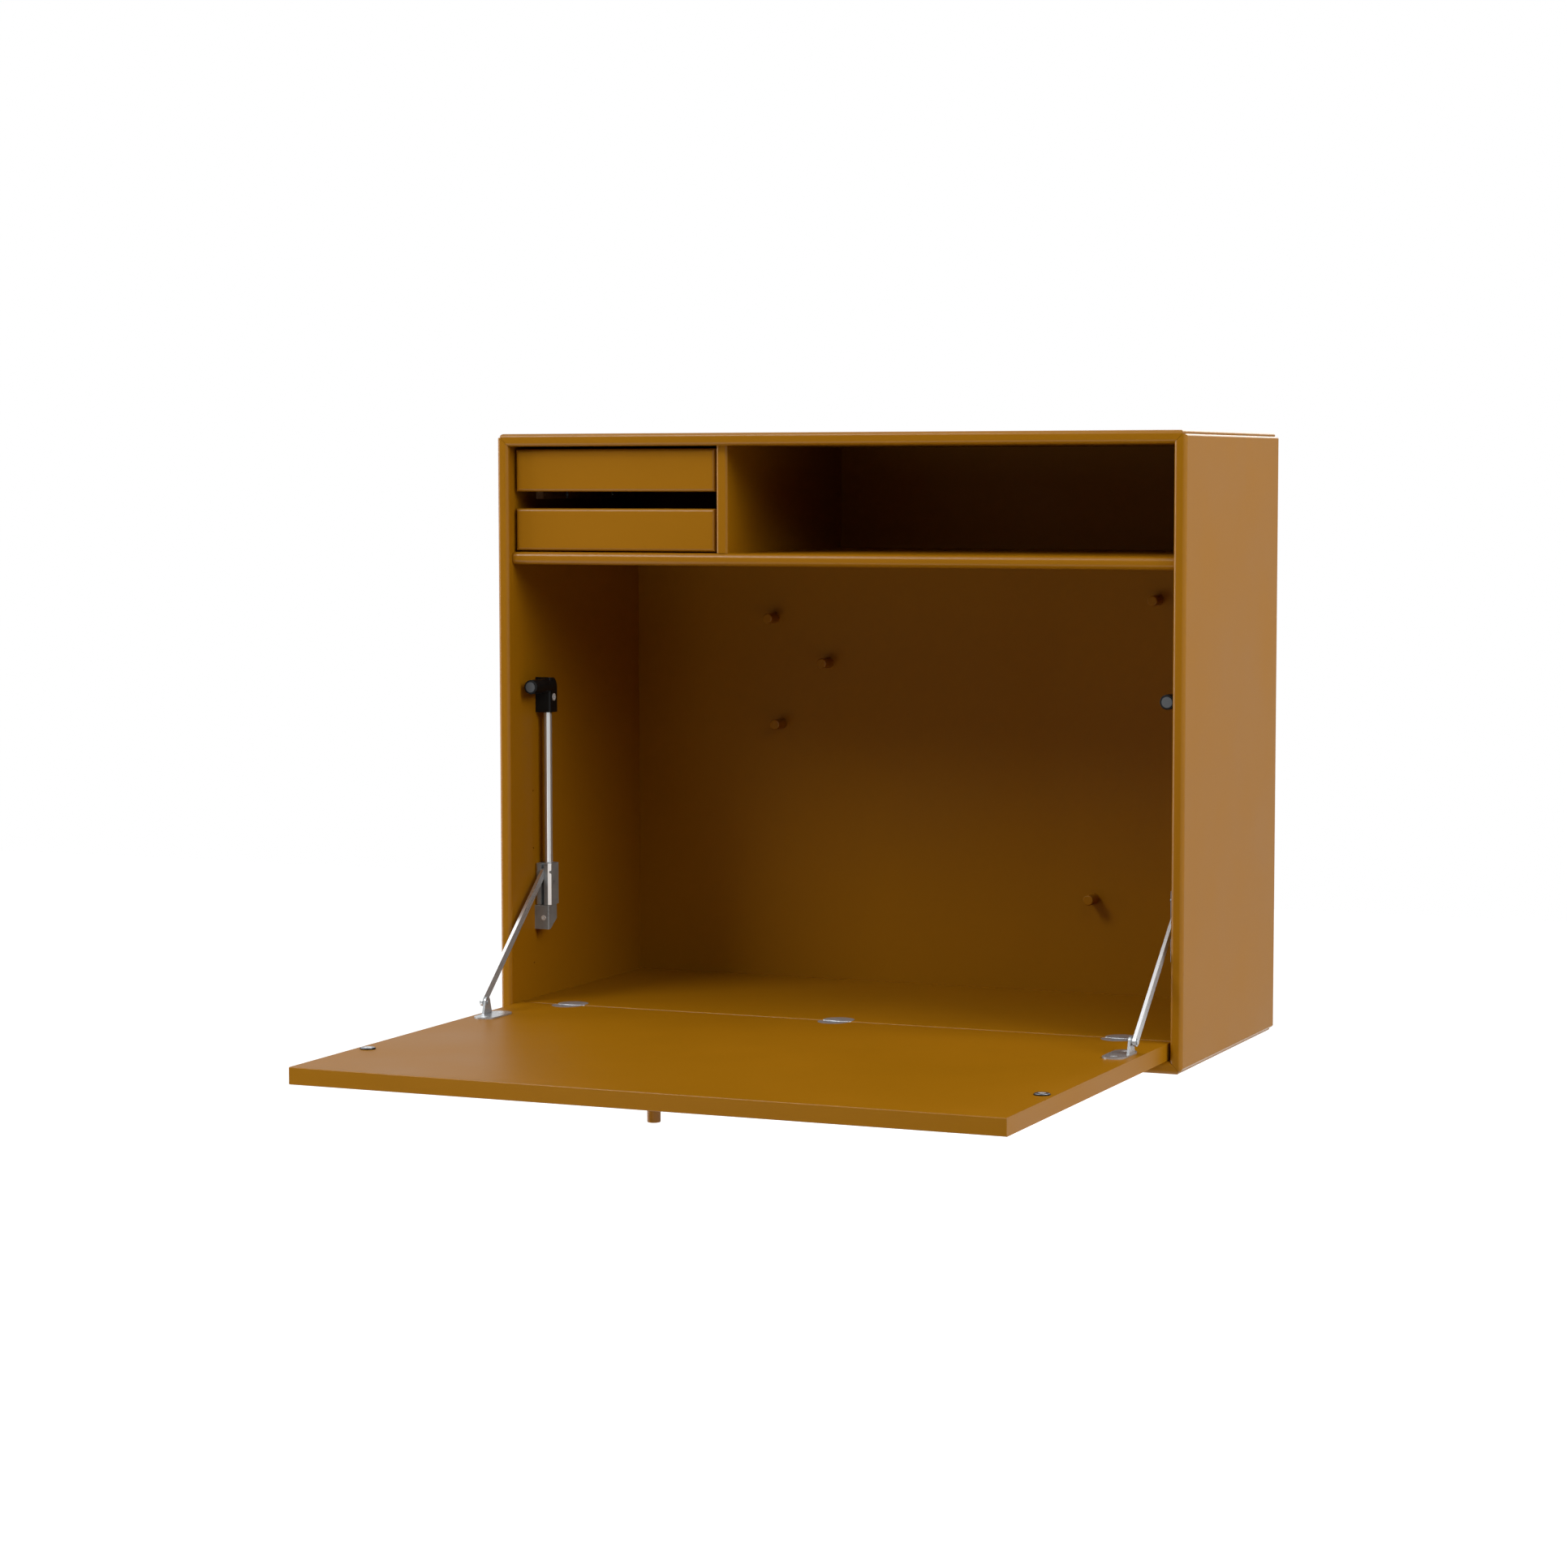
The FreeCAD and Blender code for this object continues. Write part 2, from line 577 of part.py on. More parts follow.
for label, side in SIDES.items():
    outline = [
        (out_from(side, half), line),
        (out_from(side, half), d.height - line),
        (out_from(side, inner), top_in - line),
        (out_from(side, inner), d.panel + line),
    ]
    blank = outline_body(f"{label}_side_blank", "XZ_Plane", outline, d.depth)
    edges = [dict(x=out_from(side, half), y=front), dict(x=out_from(side, inner), y=front)]
    body_round(blank, d.arris, *edges)
    tips = [mitre_tip(f"{label}_side_tip_{level + 1}", side, level, True) for level in (-1, 1)]
    pilots = []
    for i, level in enumerate((d.pilot_low, d.pilot_mid, d.pilot_high)):
        start = inner - PAST if side > 0 else -inner - d.pilot_bed
        at = (start, front + d.pilot_back, level)
        pilots.append(rod(f"{label}_pilot_{i}", "x", d.pilot_radius, at, d.pilot_bed + PAST))
    sockets = [boss(f"{label}_{n}_socket", side, z, d.joint_fit) for n, z in boss_levels.items()]
    holes = [dowel_holes["shelf_dowels"], spline_grooves] + pilots + sockets + tips
    if side < 0:
        runner_z = upper_tray_z - d.runner_play - d.runner_tall / 2
        for i, y in enumerate(runner_rows):
            at = (d.runner_wide - inner, y, runner_z)
            holes.append(screw_hole(f"left_runner_hole_{i}", "x", -1, at, d.screw_long))
    keep(f"{label}_side_panel", cut(f"{label}_side_panel", blank, holes))

for label, outer, inside in (("top", d.height, top_in), ("bottom", ZERO, d.panel)):
    outline = [(line - half, outer), (half - line, outer), (inner - line, inside), (line - inner, inside)]
    blank = outline_body(f"{label}_blank", "XZ_Plane", outline, d.depth)
    body_round(blank, d.arris, dict(z=outer, y=front), dict(z=inside, y=front))
    level = 1 if label == "top" else -1
    tips = [mitre_tip(f"{label}_tip_{side + 1}", side, level, False) for side in SIDES.values()]
    holes = dowel_holes["divider_dowels" if label == "top" else "floor_dowels"]
    keep(f"{label}_panel", cut(f"{label}_panel", blank, [holes, spline_grooves] + tips))

# Back panel between the four panels, with its pegs and wall screw holes
peg_holes = []
pegs = []
for i, (x, z) in enumerate(peg_places):
    stem = rod(f"peg_{i}_stem", "y", d.peg_radius, (x, back_face - d.peg_length, z), d.peg_length)
    crown = rounded(f"peg_{i}_crown", stem, d.peg_crown, dict(y=back_face - d.peg_length))
    tenon = rod(f"peg_{i}_tenon", "y", d.peg_tenon, (x, back_face - PAST, z), d.back_thick + PAST)
    pegs.append(fuse(f"peg_{i}", [crown, tenon]))
    at = (x, back_face - PAST, z)
    peg_holes.append(rod(f"peg_{i}_hole", "y", d.peg_tenon + d.joint_fit, at, d.back_thick + PAST * 2))
keep("back_pegs", group("back_pegs", pegs))

wall_z = d.height - d.wall_hole_drop
plate_front = back_face - d.wall_plate_thick
wall_holes = []
wall_screws = []
wall_plates = []
for label, side in SIDES.items():
    x = out_from(side, inner - d.wall_hole_in)
    wide, tall = d.wall_plate_long / 2, d.wall_plate_tall / 2
    upright = (wall_z - tall, wall_z + tall)
    plate = box(f"{label}_wall_plate_blank", (x - wide, x + wide), (plate_front, back_face), upright)
    corners_at = [dict(x=x + wide * a, z=wall_z + tall * b) for a in (-1, 1) for b in (-1, 1)]
    plate = rounded(f"{label}_wall_plate_round", plate, d.wall_plate_corner, *corners_at)
    hole = rod(f"{label}_wall_hole", "y", d.wall_hole, (x, plate_front - PAST, wall_z), d.back_thick * 2)
    tools = [hole]
    for a in (-1, 1):
        at = (x + d.wall_plate_pitch / 2 * a, plate_front, wall_z)
        long = d.wall_plate_thick + d.back_thick - PAST
        wall_screws.append(wood_screw(f"{label}_plate_screw_{a + 1}", "y", 1, at, long))
        tools.append(screw_hole(f"{label}_plate_screw_hole_{a + 1}", "y", 1, at, long))
    wall_plates.append(cut(f"{label}_wall_plate", plate, tools))
    wall_holes += tools
keep("wall_plates", group("wall_plates", wall_plates))
keep("wall_plate_screws", group("wall_plate_screws", wall_screws))
back_blank = box("back_blank", (-inner, inner), (back_face, ZERO), (d.panel, top_in))
keep("back_panel", cut("back_panel", back_blank, peg_holes + wall_holes))

# Shelf and divider
shelf_half = inner - d.shelf_play
shelf_front = front + d.shelf_recess
blank = box("shelf_blank", (-shelf_half, shelf_half), (shelf_front, back_face), (shelf_low, shelf_top))
edges = [dict(y=shelf_front, z=z) for z in (shelf_low, shelf_top)]
blank = rounded("shelf_nose", blank, d.shelf_nose, *edges)
keep("shelf", cut("shelf", blank, [dowel_holes["shelf_dowels"], dowel_holes["divider_dowels"]]))

divider_front = front + d.divider_recess
divider_far = divider_x + d.divider_thick
blank = box("divider_blank", (divider_x, divider_far), (divider_front, back_face), (shelf_top, top_in))
edges = [dict(x=divider_x, y=divider_front), dict(x=divider_far, y=divider_front)]
blank = rounded("divider_nose", blank, d.divider_arris, *edges)
runner_z = upper_tray_z - d.runner_play - d.runner_tall / 2
divider_long = d.runner_wide + d.divider_thick - PAST * 3
holes = [dowel_holes["divider_dowels"]]
for i, y in enumerate(runner_rows):
    at = (divider_x - d.runner_wide, y, runner_z)
    holes.append(screw_hole(f"right_runner_hole_{i}", "x", 1, at, divider_long))
keep("divider", cut("divider", blank, holes))

# Inner floor and flap blanks, from which the hinge leaves take their flush faces
floor_half = inner - d.floor_play
floor_blank = box("floor_blank", (-floor_half, floor_half), (floor_front, back_face), (d.panel, floor_top))
floor_blank = rounded("floor_edge", floor_blank, d.seam_round, dict(y=floor_front, z=floor_top))

outline = [(flap_free, flap_under), (flap_rear, flap_under), (flap_rear, floor_top), (flap_free, floor_top)]
flap_blank = outline_body("flap_blank", "YZ_Plane", outline, flap_half * 2)
body_round(flap_blank, heel_round, dict(y=flap_rear, z=flap_under))
body_round(flap_blank, d.seam_round, dict(y=flap_rear, z=floor_top))
free_edges = [dict(y=flap_free, z=flap_under), dict(y=flap_free, z=floor_top)]
body_round(flap_blank, d.flap_arris, *free_edges)
put(flap_blank, -flap_half)

# Flap hinges: a disc in the inner floor, cut at the seam, carries a tongue; one in the flap holds the pin
cup_low = flap_under + d.cup_floor
plate_low = floor_top - d.leaf_plate
slot_half = d.tongue_wide / 2 + d.tongue_play
eye_reach = d.eye_radius + d.tongue_play


floor_disc_y = hinge_y + d.leaf_apart
flap_disc_y = hinge_y - d.leaf_apart


def cut_disc(name, x, y, y_span, grow=ZERO):
    """A flush plate and the cup under it, between two planes across the seam."""
    at = (x, y, plate_low - grow)
    plate = rod(name + "_plate", "z", d.leaf_radius + grow, at, d.leaf_plate + grow)
    at = (x, y, cup_low - grow)
    cup = rod(name + "_cup", "z", d.cup_radius + grow, at, floor_top - cup_low + grow)
    wide = d.leaf_radius + PAST
    window = box(name + "_window", (x - wide, x + wide), y_span, (cup_low - PAST, floor_top + PAST))
    return common(name, fuse(name + "_disc", [plate, cup]), window)


floor_recesses = []
flap_recesses = []
pins = []
floor_leaves = []
for label, x in hinge_places.items():
    far = floor_disc_y + d.leaf_radius + PAST
    near = flap_disc_y - d.leaf_radius - PAST
    # inner floor side
    y_span = (floor_front - PAST, far)
    floor_recesses.append(cut_disc(f"{label}_floor_recess", x, floor_disc_y, y_span, d.joint_fit))
    leaf = cut_disc(f"{label}_floor_leaf_raw", x, floor_disc_y, (floor_front, far))
    leaf = common(f"{label}_floor_leaf_flush", leaf, floor_blank)
    half_tongue = d.tongue_wide / 2
    x_tongue = (x - half_tongue, x + half_tongue)
    bar_end = floor_front + d.cup_short
    z_tongue = (axis_z - d.eye_radius, axis_z + d.eye_radius)
    bar = box(f"{label}_tongue_bar", x_tongue, (axis_y, bar_end), z_tongue)
    eye = rod(f"{label}_tongue_eye", "x", d.eye_radius, (x - half_tongue, axis_y, axis_z), d.tongue_wide)
    half_bar = d.knuckle_long / 2
    knuckle_y = (floor_front - d.knuckle_reach, floor_front + d.seam_round)
    knuckle_top = floor_top - d.knuckle_sink
    knuckle_z = (knuckle_top - d.knuckle_tall, knuckle_top)
    knuckle = box(f"{label}_knuckle", (x - half_bar, x + half_bar), knuckle_y, knuckle_z)
    knuckle = rounded(f"{label}_knuckle_round", knuckle, d.flap_arris, dict(y=knuckle_y[0], z=knuckle_top))
    at = (x - half_bar, axis_y, axis_z)
    bore = rod(f"{label}_tongue_bore", "x", d.hinge_pin + d.pin_play, at, d.knuckle_long)
    whole = fuse(f"{label}_floor_leaf_whole", [leaf, bar, eye, knuckle])
    keep(f"{label}_hinge_floor_leaf", cut(f"{label}_hinge_floor_leaf", whole, [bore]))
    # flap side
    slot_x = (x - slot_half, x + slot_half)
    slot_y = (axis_y - eye_reach, flap_rear + PAST)
    slot = box(f"{label}_slot", slot_x, slot_y, (axis_z - eye_reach, floor_top + PAST))
    pin_long = (slot_half + d.pin_hold) * 2
    pin_at = (x - pin_long / 2, axis_y, axis_z)
    pins.append(rod(f"{label}_hinge_pin", "x", d.hinge_pin, pin_at, pin_long))
    pin_hole = rod(f"{label}_hinge_pin_hole", "x", d.hinge_pin, pin_at, pin_long)
    y_span = (near, axis_y + d.cup_short + d.joint_fit)
    recess = cut_disc(f"{label}_flap_recess", x, flap_disc_y, y_span, d.joint_fit)
    at = (x, flap_disc_y, plate_low - d.joint_fit)
    lip = rod(f"{label}_lip_recess", "z", d.leaf_radius + d.joint_fit, at, d.leaf_plate * 2)
    flap_recesses += [recess, lip, slot]
    raw = cut_disc(f"{label}_flap_leaf_raw", x, flap_disc_y, (near, axis_y + d.cup_short))
    lip_plate = rod(f"{label}_lip_plate", "z", d.leaf_radius, (x, flap_disc_y, plate_low), d.leaf_plate)
    raw = fuse(f"{label}_flap_leaf_disc", [raw, lip_plate])
    raw = common(f"{label}_flap_leaf_flush", raw, flap_blank)
    keep(f"{label}_hinge_flap_leaf", cut(f"{label}_hinge_flap_leaf", raw, [slot, pin_hole]))
keep("hinge_pins", group("hinge_pins", pins))
keep("floor_board", cut("floor_board", floor_blank, floor_recesses + [dowel_holes["floor_dowels"]]))

# Flap fittings: knob under the free edge, strike plates and stay brackets on top
knob_y = flap_free + d.knob_inset
blank = rod("knob_blank", "z", d.knob_radius, (ZERO, knob_y, flap_under - d.knob_length), d.knob_length)
blank = rounded("knob_soft", blank, d.knob_round, dict(z=flap_under - d.knob_length))
stud = rod("knob_stud", "z", d.stud_radius, (ZERO, knob_y, flap_under - d.stud_bed), d.stud_bed * 2)
stud_hole = rod("stud_hole", "z", d.stud_radius, (ZERO, knob_y, flap_under - d.stud_bed), d.stud_bed * 2)
keep("flap_knob", cut("flap_knob", blank, [stud_hole]))
keep("knob_stud", stud)

flap_holes = [stud_hole]
strike_screws = []
bracket_screws = []
bracket_pins = []
strike_long = d.screw_long
for label, side in SIDES.items():
    at = (out_from(side, strike_x), strike_y, floor_top + d.strike_thick)
    strike = rod(f"{label}_strike_blank", "z", d.strike_radius, (at[0], at[1], floor_top), d.strike_thick)
    strike = rounded(f"{label}_strike_soft", strike, d.strike_thick / 3, dict(z=at[2]))
    strike_screws.append(wood_screw(f"{label}_strike_screw", "z", -1, at, strike_long))
    hole = screw_hole(f"{label}_strike_hole", "z", -1, at, strike_long)
    keep(f"{label}_strike_plate", cut(f"{label}_strike_plate", strike, [hole]))
    flap_holes.append(hole)

    # bracket: a long plate with round ends and, along its outer edge, a lug beside the arm
    arm_in = arm_mid - d.arm_thick / 2
    lug_out = arm_in - d.lug_gap
    lug_in = lug_out - d.lug_thick
    plate_out = lug_out + d.bracket_edge
    plate_in = plate_out - d.bracket_wide
    low, high = floor_top, floor_top + d.bracket_plate
    y_mid = lug_pin_y - d.bracket_shift
    y_span = (y_mid - d.bracket_long / 2, y_mid + d.bracket_long / 2)
    plate = box(f"{label}_bracket_blank", span(side, plate_in, plate_out), y_span, (low, high))
    ends = [dict(x=out_from(side, x), y=y) for x in (plate_in, plate_out) for y in y_span]
    plate = rounded(f"{label}_bracket_end", plate, d.bracket_wide / 2 - d.flap_arris, *ends)
    lug_outline = [
        (lug_pin_y - d.lug_foot / 2, low),
        (lug_pin_y + d.lug_foot / 2, low),
        (lug_pin_y + d.lug_head, lug_pin_z),
        (lug_pin_y - d.lug_head, lug_pin_z),
    ]
    lug = outline_body(f"{label}_lug", "YZ_Plane", lug_outline, d.lug_thick)
    put(lug, span(side, lug_in, lug_out)[0])
    at = (span(side, lug_in, lug_out)[0], lug_pin_y, lug_pin_z)
    lug_head = rod(f"{label}_lug_head", "x", d.lug_head, at, d.lug_thick)
    pin_end = arm_mid + d.arm_thick / 2 + d.arm_play
    pin_x = span(side, lug_in - d.lug_pin_cap, pin_end)
    cap_x = span(side, pin_end, pin_end + d.lug_pin_cap)
    pin_at = (pin_x[0], lug_pin_y, lug_pin_z)
    stem = rod(f"{label}_pin_stem", "x", d.lug_pin, pin_at, pin_x[1] - pin_x[0])
    cap = rod(f"{label}_pin_cap", "x", d.lug_pin_head, (cap_x[0], lug_pin_y, lug_pin_z), d.lug_pin_cap)
    collar_x = span(side, lug_out, arm_in - d.arm_play)
    at = (collar_x[0], lug_pin_y, lug_pin_z)
    collar = rod(f"{label}_pin_collar", "x", d.lug_pin_collar, at, collar_x[1] - collar_x[0])
    bracket_pins.append(fuse(f"{label}_bracket_pin", [stem, collar, cap]))
    pin_hole = rod(f"{label}_lug_hole", "x", d.lug_pin, pin_at, pin_x[1] - pin_x[0])
    tools = [pin_hole]
    for i, along in enumerate((-1, 1)):
        at = (out_from(side, (plate_in + plate_out) / 2), y_mid + d.bracket_pitch / 2 * along, high)
        bracket_screws.append(wood_screw(f"{label}_bracket_screw_{i}", "z", -1, at, d.screw_long))
        tools.append(screw_hole(f"{label}_bracket_screw_hole_{i}", "z", -1, at, d.screw_long))
    flap_holes += tools[1:]
    whole = fuse(f"{label}_bracket_whole", [plate, lug, lug_head])
    keep(f"{label}_flap_bracket", cut(f"{label}_flap_bracket", whole, tools))
keep("strike_screws", group("strike_screws", strike_screws))
keep("bracket_screws", group("bracket_screws", bracket_screws))
keep("bracket_pins", group("bracket_pins", bracket_pins))
keep("flap_panel", cut("flap_panel", flap_blank, flap_recesses + flap_holes))

# Flap stays: foot, rod, elbow with its magnet, slider and arm
magnets = []
grubs = []
rod_low = foot_top - d.rod_seat
rod_top = elbow_low + d.elbow_seat
for label, side in SIDES.items():
    x = out_from(side, rod_x)
    stay_rod = rod(f"{label}_stay_rod", "z", d.rod_radius, (x, rod_y, rod_low), rod_top - rod_low)
    bore = rod(f"{label}_stay_bore", "z", d.rod_radius, (x, rod_y, rod_low), rod_top - rod_low)
    keep(f"{label}_stay_rod", stay_rod)

    # foot with its lower rear corner cut off, clamped to the rod from the front
    foot_y = (rod_y - d.foot_front, rod_y + d.foot_rear)
    outline = [
        (foot_y[0], d.foot_low),
        (foot_y[1] - d.foot_cut_deep, d.foot_low),
        (foot_y[1], d.foot_low + d.foot_cut_tall),
        (foot_y[1], foot_top),
        (foot_y[0], foot_top),
    ]
    foot = outline_body(f"{label}_foot_blank", "YZ_Plane", outline, d.foot_wide)
    shown = d.foot_wide if side < 0 else ZERO
    body_round(foot, d.fitting_arris, *[dict(x=shown, y=y) for y in foot_y])
    put(foot, span(side, inner - d.foot_wide, inner)[0])
    grub_z = foot_top - d.rod_seat * 0.83
    grub_at = (x, foot_y[0] - d.catch_gap, grub_z)
    grub_long = d.foot_front + d.catch_gap - d.rod_radius
    grub = rod(f"{label}_foot_grub_blank", "y", d.grub_radius, grub_at, grub_long)
    socket = rod(f"{label}_foot_grub_socket", "y", d.grub_socket, grub_at, d.grub_socket_deep)
    grubs.append(cut(f"{label}_foot_grub", grub, [socket]))
    grub_hole = rod(f"{label}_foot_grub_hole", "y", d.grub_radius, grub_at, grub_long)
    whole = fuse(f"{label}_foot_whole", [foot, boss(f"{label}_foot_boss", side, boss_levels["foot"])])
    keep(f"{label}_stay_foot", cut(f"{label}_stay_foot", whole, [bore, grub_hole]))

    # elbow: a block over the rod and a snout that points the magnet at the flap
    elbow_y = (rod_y - d.elbow_front, rod_y + d.elbow_rear)
    elbow_x = span(side, inner - d.elbow_wide, inner)
    block = box(f"{label}_elbow_block", elbow_x, elbow_y, (elbow_low, elbow_top))
    block = rounded(f"{label}_elbow_turn", block, d.elbow_turn, dict(y=elbow_y[1], z=elbow_top))
    upright = dict(x=out_from(side, inner - d.elbow_wide), y=elbow_y[0])
    block = rounded(f"{label}_elbow_soft", block, d.fitting_arris * 2, upright)
    snout_x = out_from(side, inner - d.snout_in)
    snout_y = magnet_face + d.magnet_proud
    snout_long = elbow_y[0] - snout_y + d.elbow_front
    snout = rod(f"{label}_snout", "y", d.snout_radius, (snout_x, snout_y, magnet_z), snout_long)
    snout = rounded(f"{label}_snout_soft", snout, d.fitting_arris, dict(y=snout_y))
    magnet_at = (snout_x, magnet_face, magnet_z)
    magnets.append(rod(f"{label}_magnet", "y", d.magnet_radius, magnet_at, d.magnet_long))
    magnet_hole = rod(f"{label}_magnet_hole", "y", d.magnet_radius, magnet_at, d.magnet_long)
    grub_z = elbow_low + d.elbow_seat * 0.68
    face_x = inner - d.elbow_wide - d.catch_gap
    grub_x = span(side, face_x, rod_x - d.rod_radius)
    grub_at = (grub_x[0], rod_y, grub_z)
    grub = rod(f"{label}_elbow_grub_blank", "x", d.elbow_grub, grub_at, grub_x[1] - grub_x[0])
    socket_x = span(side, face_x, face_x + d.grub_socket_deep)
    at = (socket_x[0], rod_y, grub_z)
    socket = rod(f"{label}_elbow_grub_socket", "x", d.grub_socket, at, d.grub_socket_deep)
    grubs.append(cut(f"{label}_elbow_grub", grub, [socket]))
    grub_hole = rod(f"{label}_elbow_grub_hole", "x", d.elbow_grub, grub_at, grub_x[1] - grub_x[0])
    parts = [block, snout, boss(f"{label}_elbow_boss", side, boss_levels["elbow"])]
    whole = fuse(f"{label}_elbow_whole", parts)
    keep(f"{label}_stay_elbow", cut(f"{label}_stay_elbow", whole, [bore, magnet_hole, grub_hole]))

    # slider on the rod, slotted at the front for the arm, with half a pivot pin in each cheek
    slider_x = span(side, rod_x - d.slider_in, inner - d.slider_gap)
    slider_y = (rod_y - d.slider_front, rod_y + d.slider_rear)
    slider_z = (slider_low, slider_low + d.slider_tall)
    block = box(f"{label}_slider_block", slider_x, slider_y, slider_z)
    inboard = slider_x[1] if side < 0 else slider_x[0]
    shown = dict(x=inboard, y=slider_y[0])
    uprights = [dict(x=a, y=b) for a in slider_x for b in slider_y if (a, b) != (inboard, slider_y[0])]
    block = rounded(f"{label}_slider_soft", block, d.slider_soft, *uprights)
    block = rounded(f"{label}_slider_cut", block, d.slider_cut, shown, kind="Part::Chamfer")
    slot_wide = d.arm_thick / 2 + d.arm_play
    slot_deep = pivot_y + d.arm_top_eye + d.arm_play
    arm_x = out_from(side, arm_mid)
    slot_x = (arm_x - slot_wide, arm_x + slot_wide)
    through = (slider_z[0] - PAST, slider_z[1] + PAST)
    slot = box(f"{label}_slider_slot", slot_x, (slider_y[0] - PAST, slot_deep), through)
    at = (x, rod_y, through[0])
    run = rod(f"{label}_slider_run", "z", d.rod_radius + d.pin_play, at, through[1] - through[0])
    cheeks = [(slider_x[0], slot_x[0]), (slot_x[1], slider_x[1])]
    pivots = [rod(f"{label}_pivot_{i}", "x", d.pivot_pin, (low, pivot_y, pivot_z), high - low)
              for i, (low, high) in enumerate(cheeks)]
    pivot_at = (slider_x[0] - PAST, pivot_y, pivot_z)
    pivot_long = slider_x[1] - slider_x[0] + PAST * 2
    pivot_hole = rod(f"{label}_pivot_hole", "x", d.pivot_pin, pivot_at, pivot_long)
    keep(f"{label}_stay_slider", cut(f"{label}_stay_slider", block, [slot, run, pivot_hole]))
    keep(f"{label}_slider_pivot", group(f"{label}_slider_pivot", pivots))

    # arm from the bracket pin up to the slider, narrower at its upper end
    arm_x = out_from(side, arm_mid) - d.arm_thick / 2
    rise, reach = pivot_z - lug_pin_z, pivot_y - lug_pin_y
    slant = root(rise * rise + reach * reach)
    edge_y, edge_z = d.arm_wide / 2 * rise / slant, d.arm_wide / 2 * reach / slant
    bar_outline = [
        (lug_pin_y - edge_y, lug_pin_z + edge_z),
        (lug_pin_y + edge_y, lug_pin_z - edge_z),
        (pivot_y + edge_y, pivot_z - edge_z),
        (pivot_y - edge_y, pivot_z + edge_z),
    ]
    neck = d.arm_top_eye * 2 / d.arm_wide
    bar_outline[2:] = [
        (pivot_y + edge_y * neck, pivot_z - edge_z * neck),
        (pivot_y - edge_y * neck, pivot_z + edge_z * neck),
    ]
    bar = outline_body(f"{label}_arm_bar", "YZ_Plane", bar_outline, d.arm_thick)
    put(bar, arm_x)
    low_eye = rod(f"{label}_arm_low_eye", "x", d.arm_low_eye, (arm_x, lug_pin_y, lug_pin_z), d.arm_thick)
    top_eye = rod(f"{label}_arm_top_eye", "x", d.arm_top_eye, (arm_x, pivot_y, pivot_z), d.arm_thick)
    through = d.arm_thick + PAST * 2
    at = (arm_x - PAST, lug_pin_y, lug_pin_z)
    low_hole = rod(f"{label}_arm_low_hole", "x", d.lug_pin + d.pin_play, at, through)
    top_hole = rod(f"{label}_arm_top_hole", "x", d.pivot_pin, (arm_x - PAST, pivot_y, pivot_z), through)
    whole = fuse(f"{label}_arm_whole", [bar, low_eye, top_eye])
    keep(f"{label}_stay_arm", cut(f"{label}_stay_arm", whole, [low_hole, top_hole]))
keep("catch_magnets", group("catch_magnets", magnets))
keep("stay_clamp_screws", group("stay_clamp_screws", grubs))

# Trays: a front, two sides, a back and a bottom let into grooves, on runners or glides
tray_x = (d.tray_gap - inner, divider_x - d.tray_gap)
wall_x = (tray_x[0] + d.tray_inset, tray_x[1] - d.tray_inset)
tray_front = front + d.tray_recess
box_front = tray_front + d.tray_front_thick
box_rear = back_face - d.tray_clear
for label, low in (("upper", upper_tray_z), ("lower", lower_tray_z)):
    high = low + tray_height
    rim = high - d.tray_drop
    blank = box(f"{label}_front_blank", tray_x, (tray_front, box_front), (low, high))
    rounds = [dict(y=tray_front, z=z) for z in (low, high)] + [dict(y=tray_front, x=x) for x in tray_x]
    face = rounded(f"{label}_front_soft", blank, d.tray_round, *rounds)
    bed = (low + d.tray_bottom_up, low + d.tray_bottom_up + d.tray_bottom)
    bed_x = (wall_x[0] + d.tray_wall - d.tray_groove, wall_x[1] - d.tray_wall + d.tray_groove)
    bed_y = (box_front - d.tray_groove, box_rear - d.tray_wall + d.tray_groove)
    floor = box(f"{label}_tray_bottom", bed_x, bed_y, bed)
    groove = box(f"{label}_tray_groove", bed_x, bed_y, bed)
    keep(f"{label}_tray_front", cut(f"{label}_tray_front", face, [groove]))
    keep(f"{label}_tray_bottom", floor)
    walls = {
        "left_side": (wall_x[0], wall_x[0] + d.tray_wall),
        "right_side": (wall_x[1] - d.tray_wall, wall_x[1]),
    }
    for name, x_span in walls.items():
        wall = box(f"{label}_{name}_blank", x_span, (box_front, box_rear), (low, rim))
        keep(f"{label}_tray_{name}", cut(f"{label}_tray_{name}", wall, [groove]))
    back_x = (wall_x[0] + d.tray_wall, wall_x[1] - d.tray_wall)
    wall = box(f"{label}_back_blank", back_x, (box_rear - d.tray_wall, box_rear), (low, rim))
    keep(f"{label}_tray_back", cut(f"{label}_tray_back", wall, [groove]))

runner_y = (runner_start, runner_end)
runner_top = upper_tray_z - d.runner_play
runner_screws = []
runner_sides = {
    "left": ((-inner, d.runner_wide - inner), -1, d.runner_wide - inner, d.screw_long),
    "right": ((divider_x - d.runner_wide, divider_x), 1, divider_x - d.runner_wide, divider_long),
}
for label, (x_span, turn, head_x, long) in runner_sides.items():
    strip = box(f"{label}_runner_blank", x_span, runner_y, (runner_top - d.runner_tall, runner_top))
    holes = []
    for i, y in enumerate(runner_rows):
        at = (head_x, y, runner_z)
        runner_screws.append(wood_screw(f"{label}_runner_screw_{i}", "x", turn, at, long))
        holes.append(screw_hole(f"{label}_runner_strip_hole_{i}", "x", turn, at, long))
    keep(f"{label}_tray_runner", cut(f"{label}_tray_runner", strip, holes))
keep("runner_screws", group("runner_screws", runner_screws))
glide_z = (shelf_top, lower_tray_z - d.runner_play)
glides = [box("left_glide", (wall_x[0], wall_x[0] + d.tray_wall), runner_y, glide_z),
          box("right_glide", (wall_x[1] - d.tray_wall, wall_x[1]), runner_y, glide_z)]
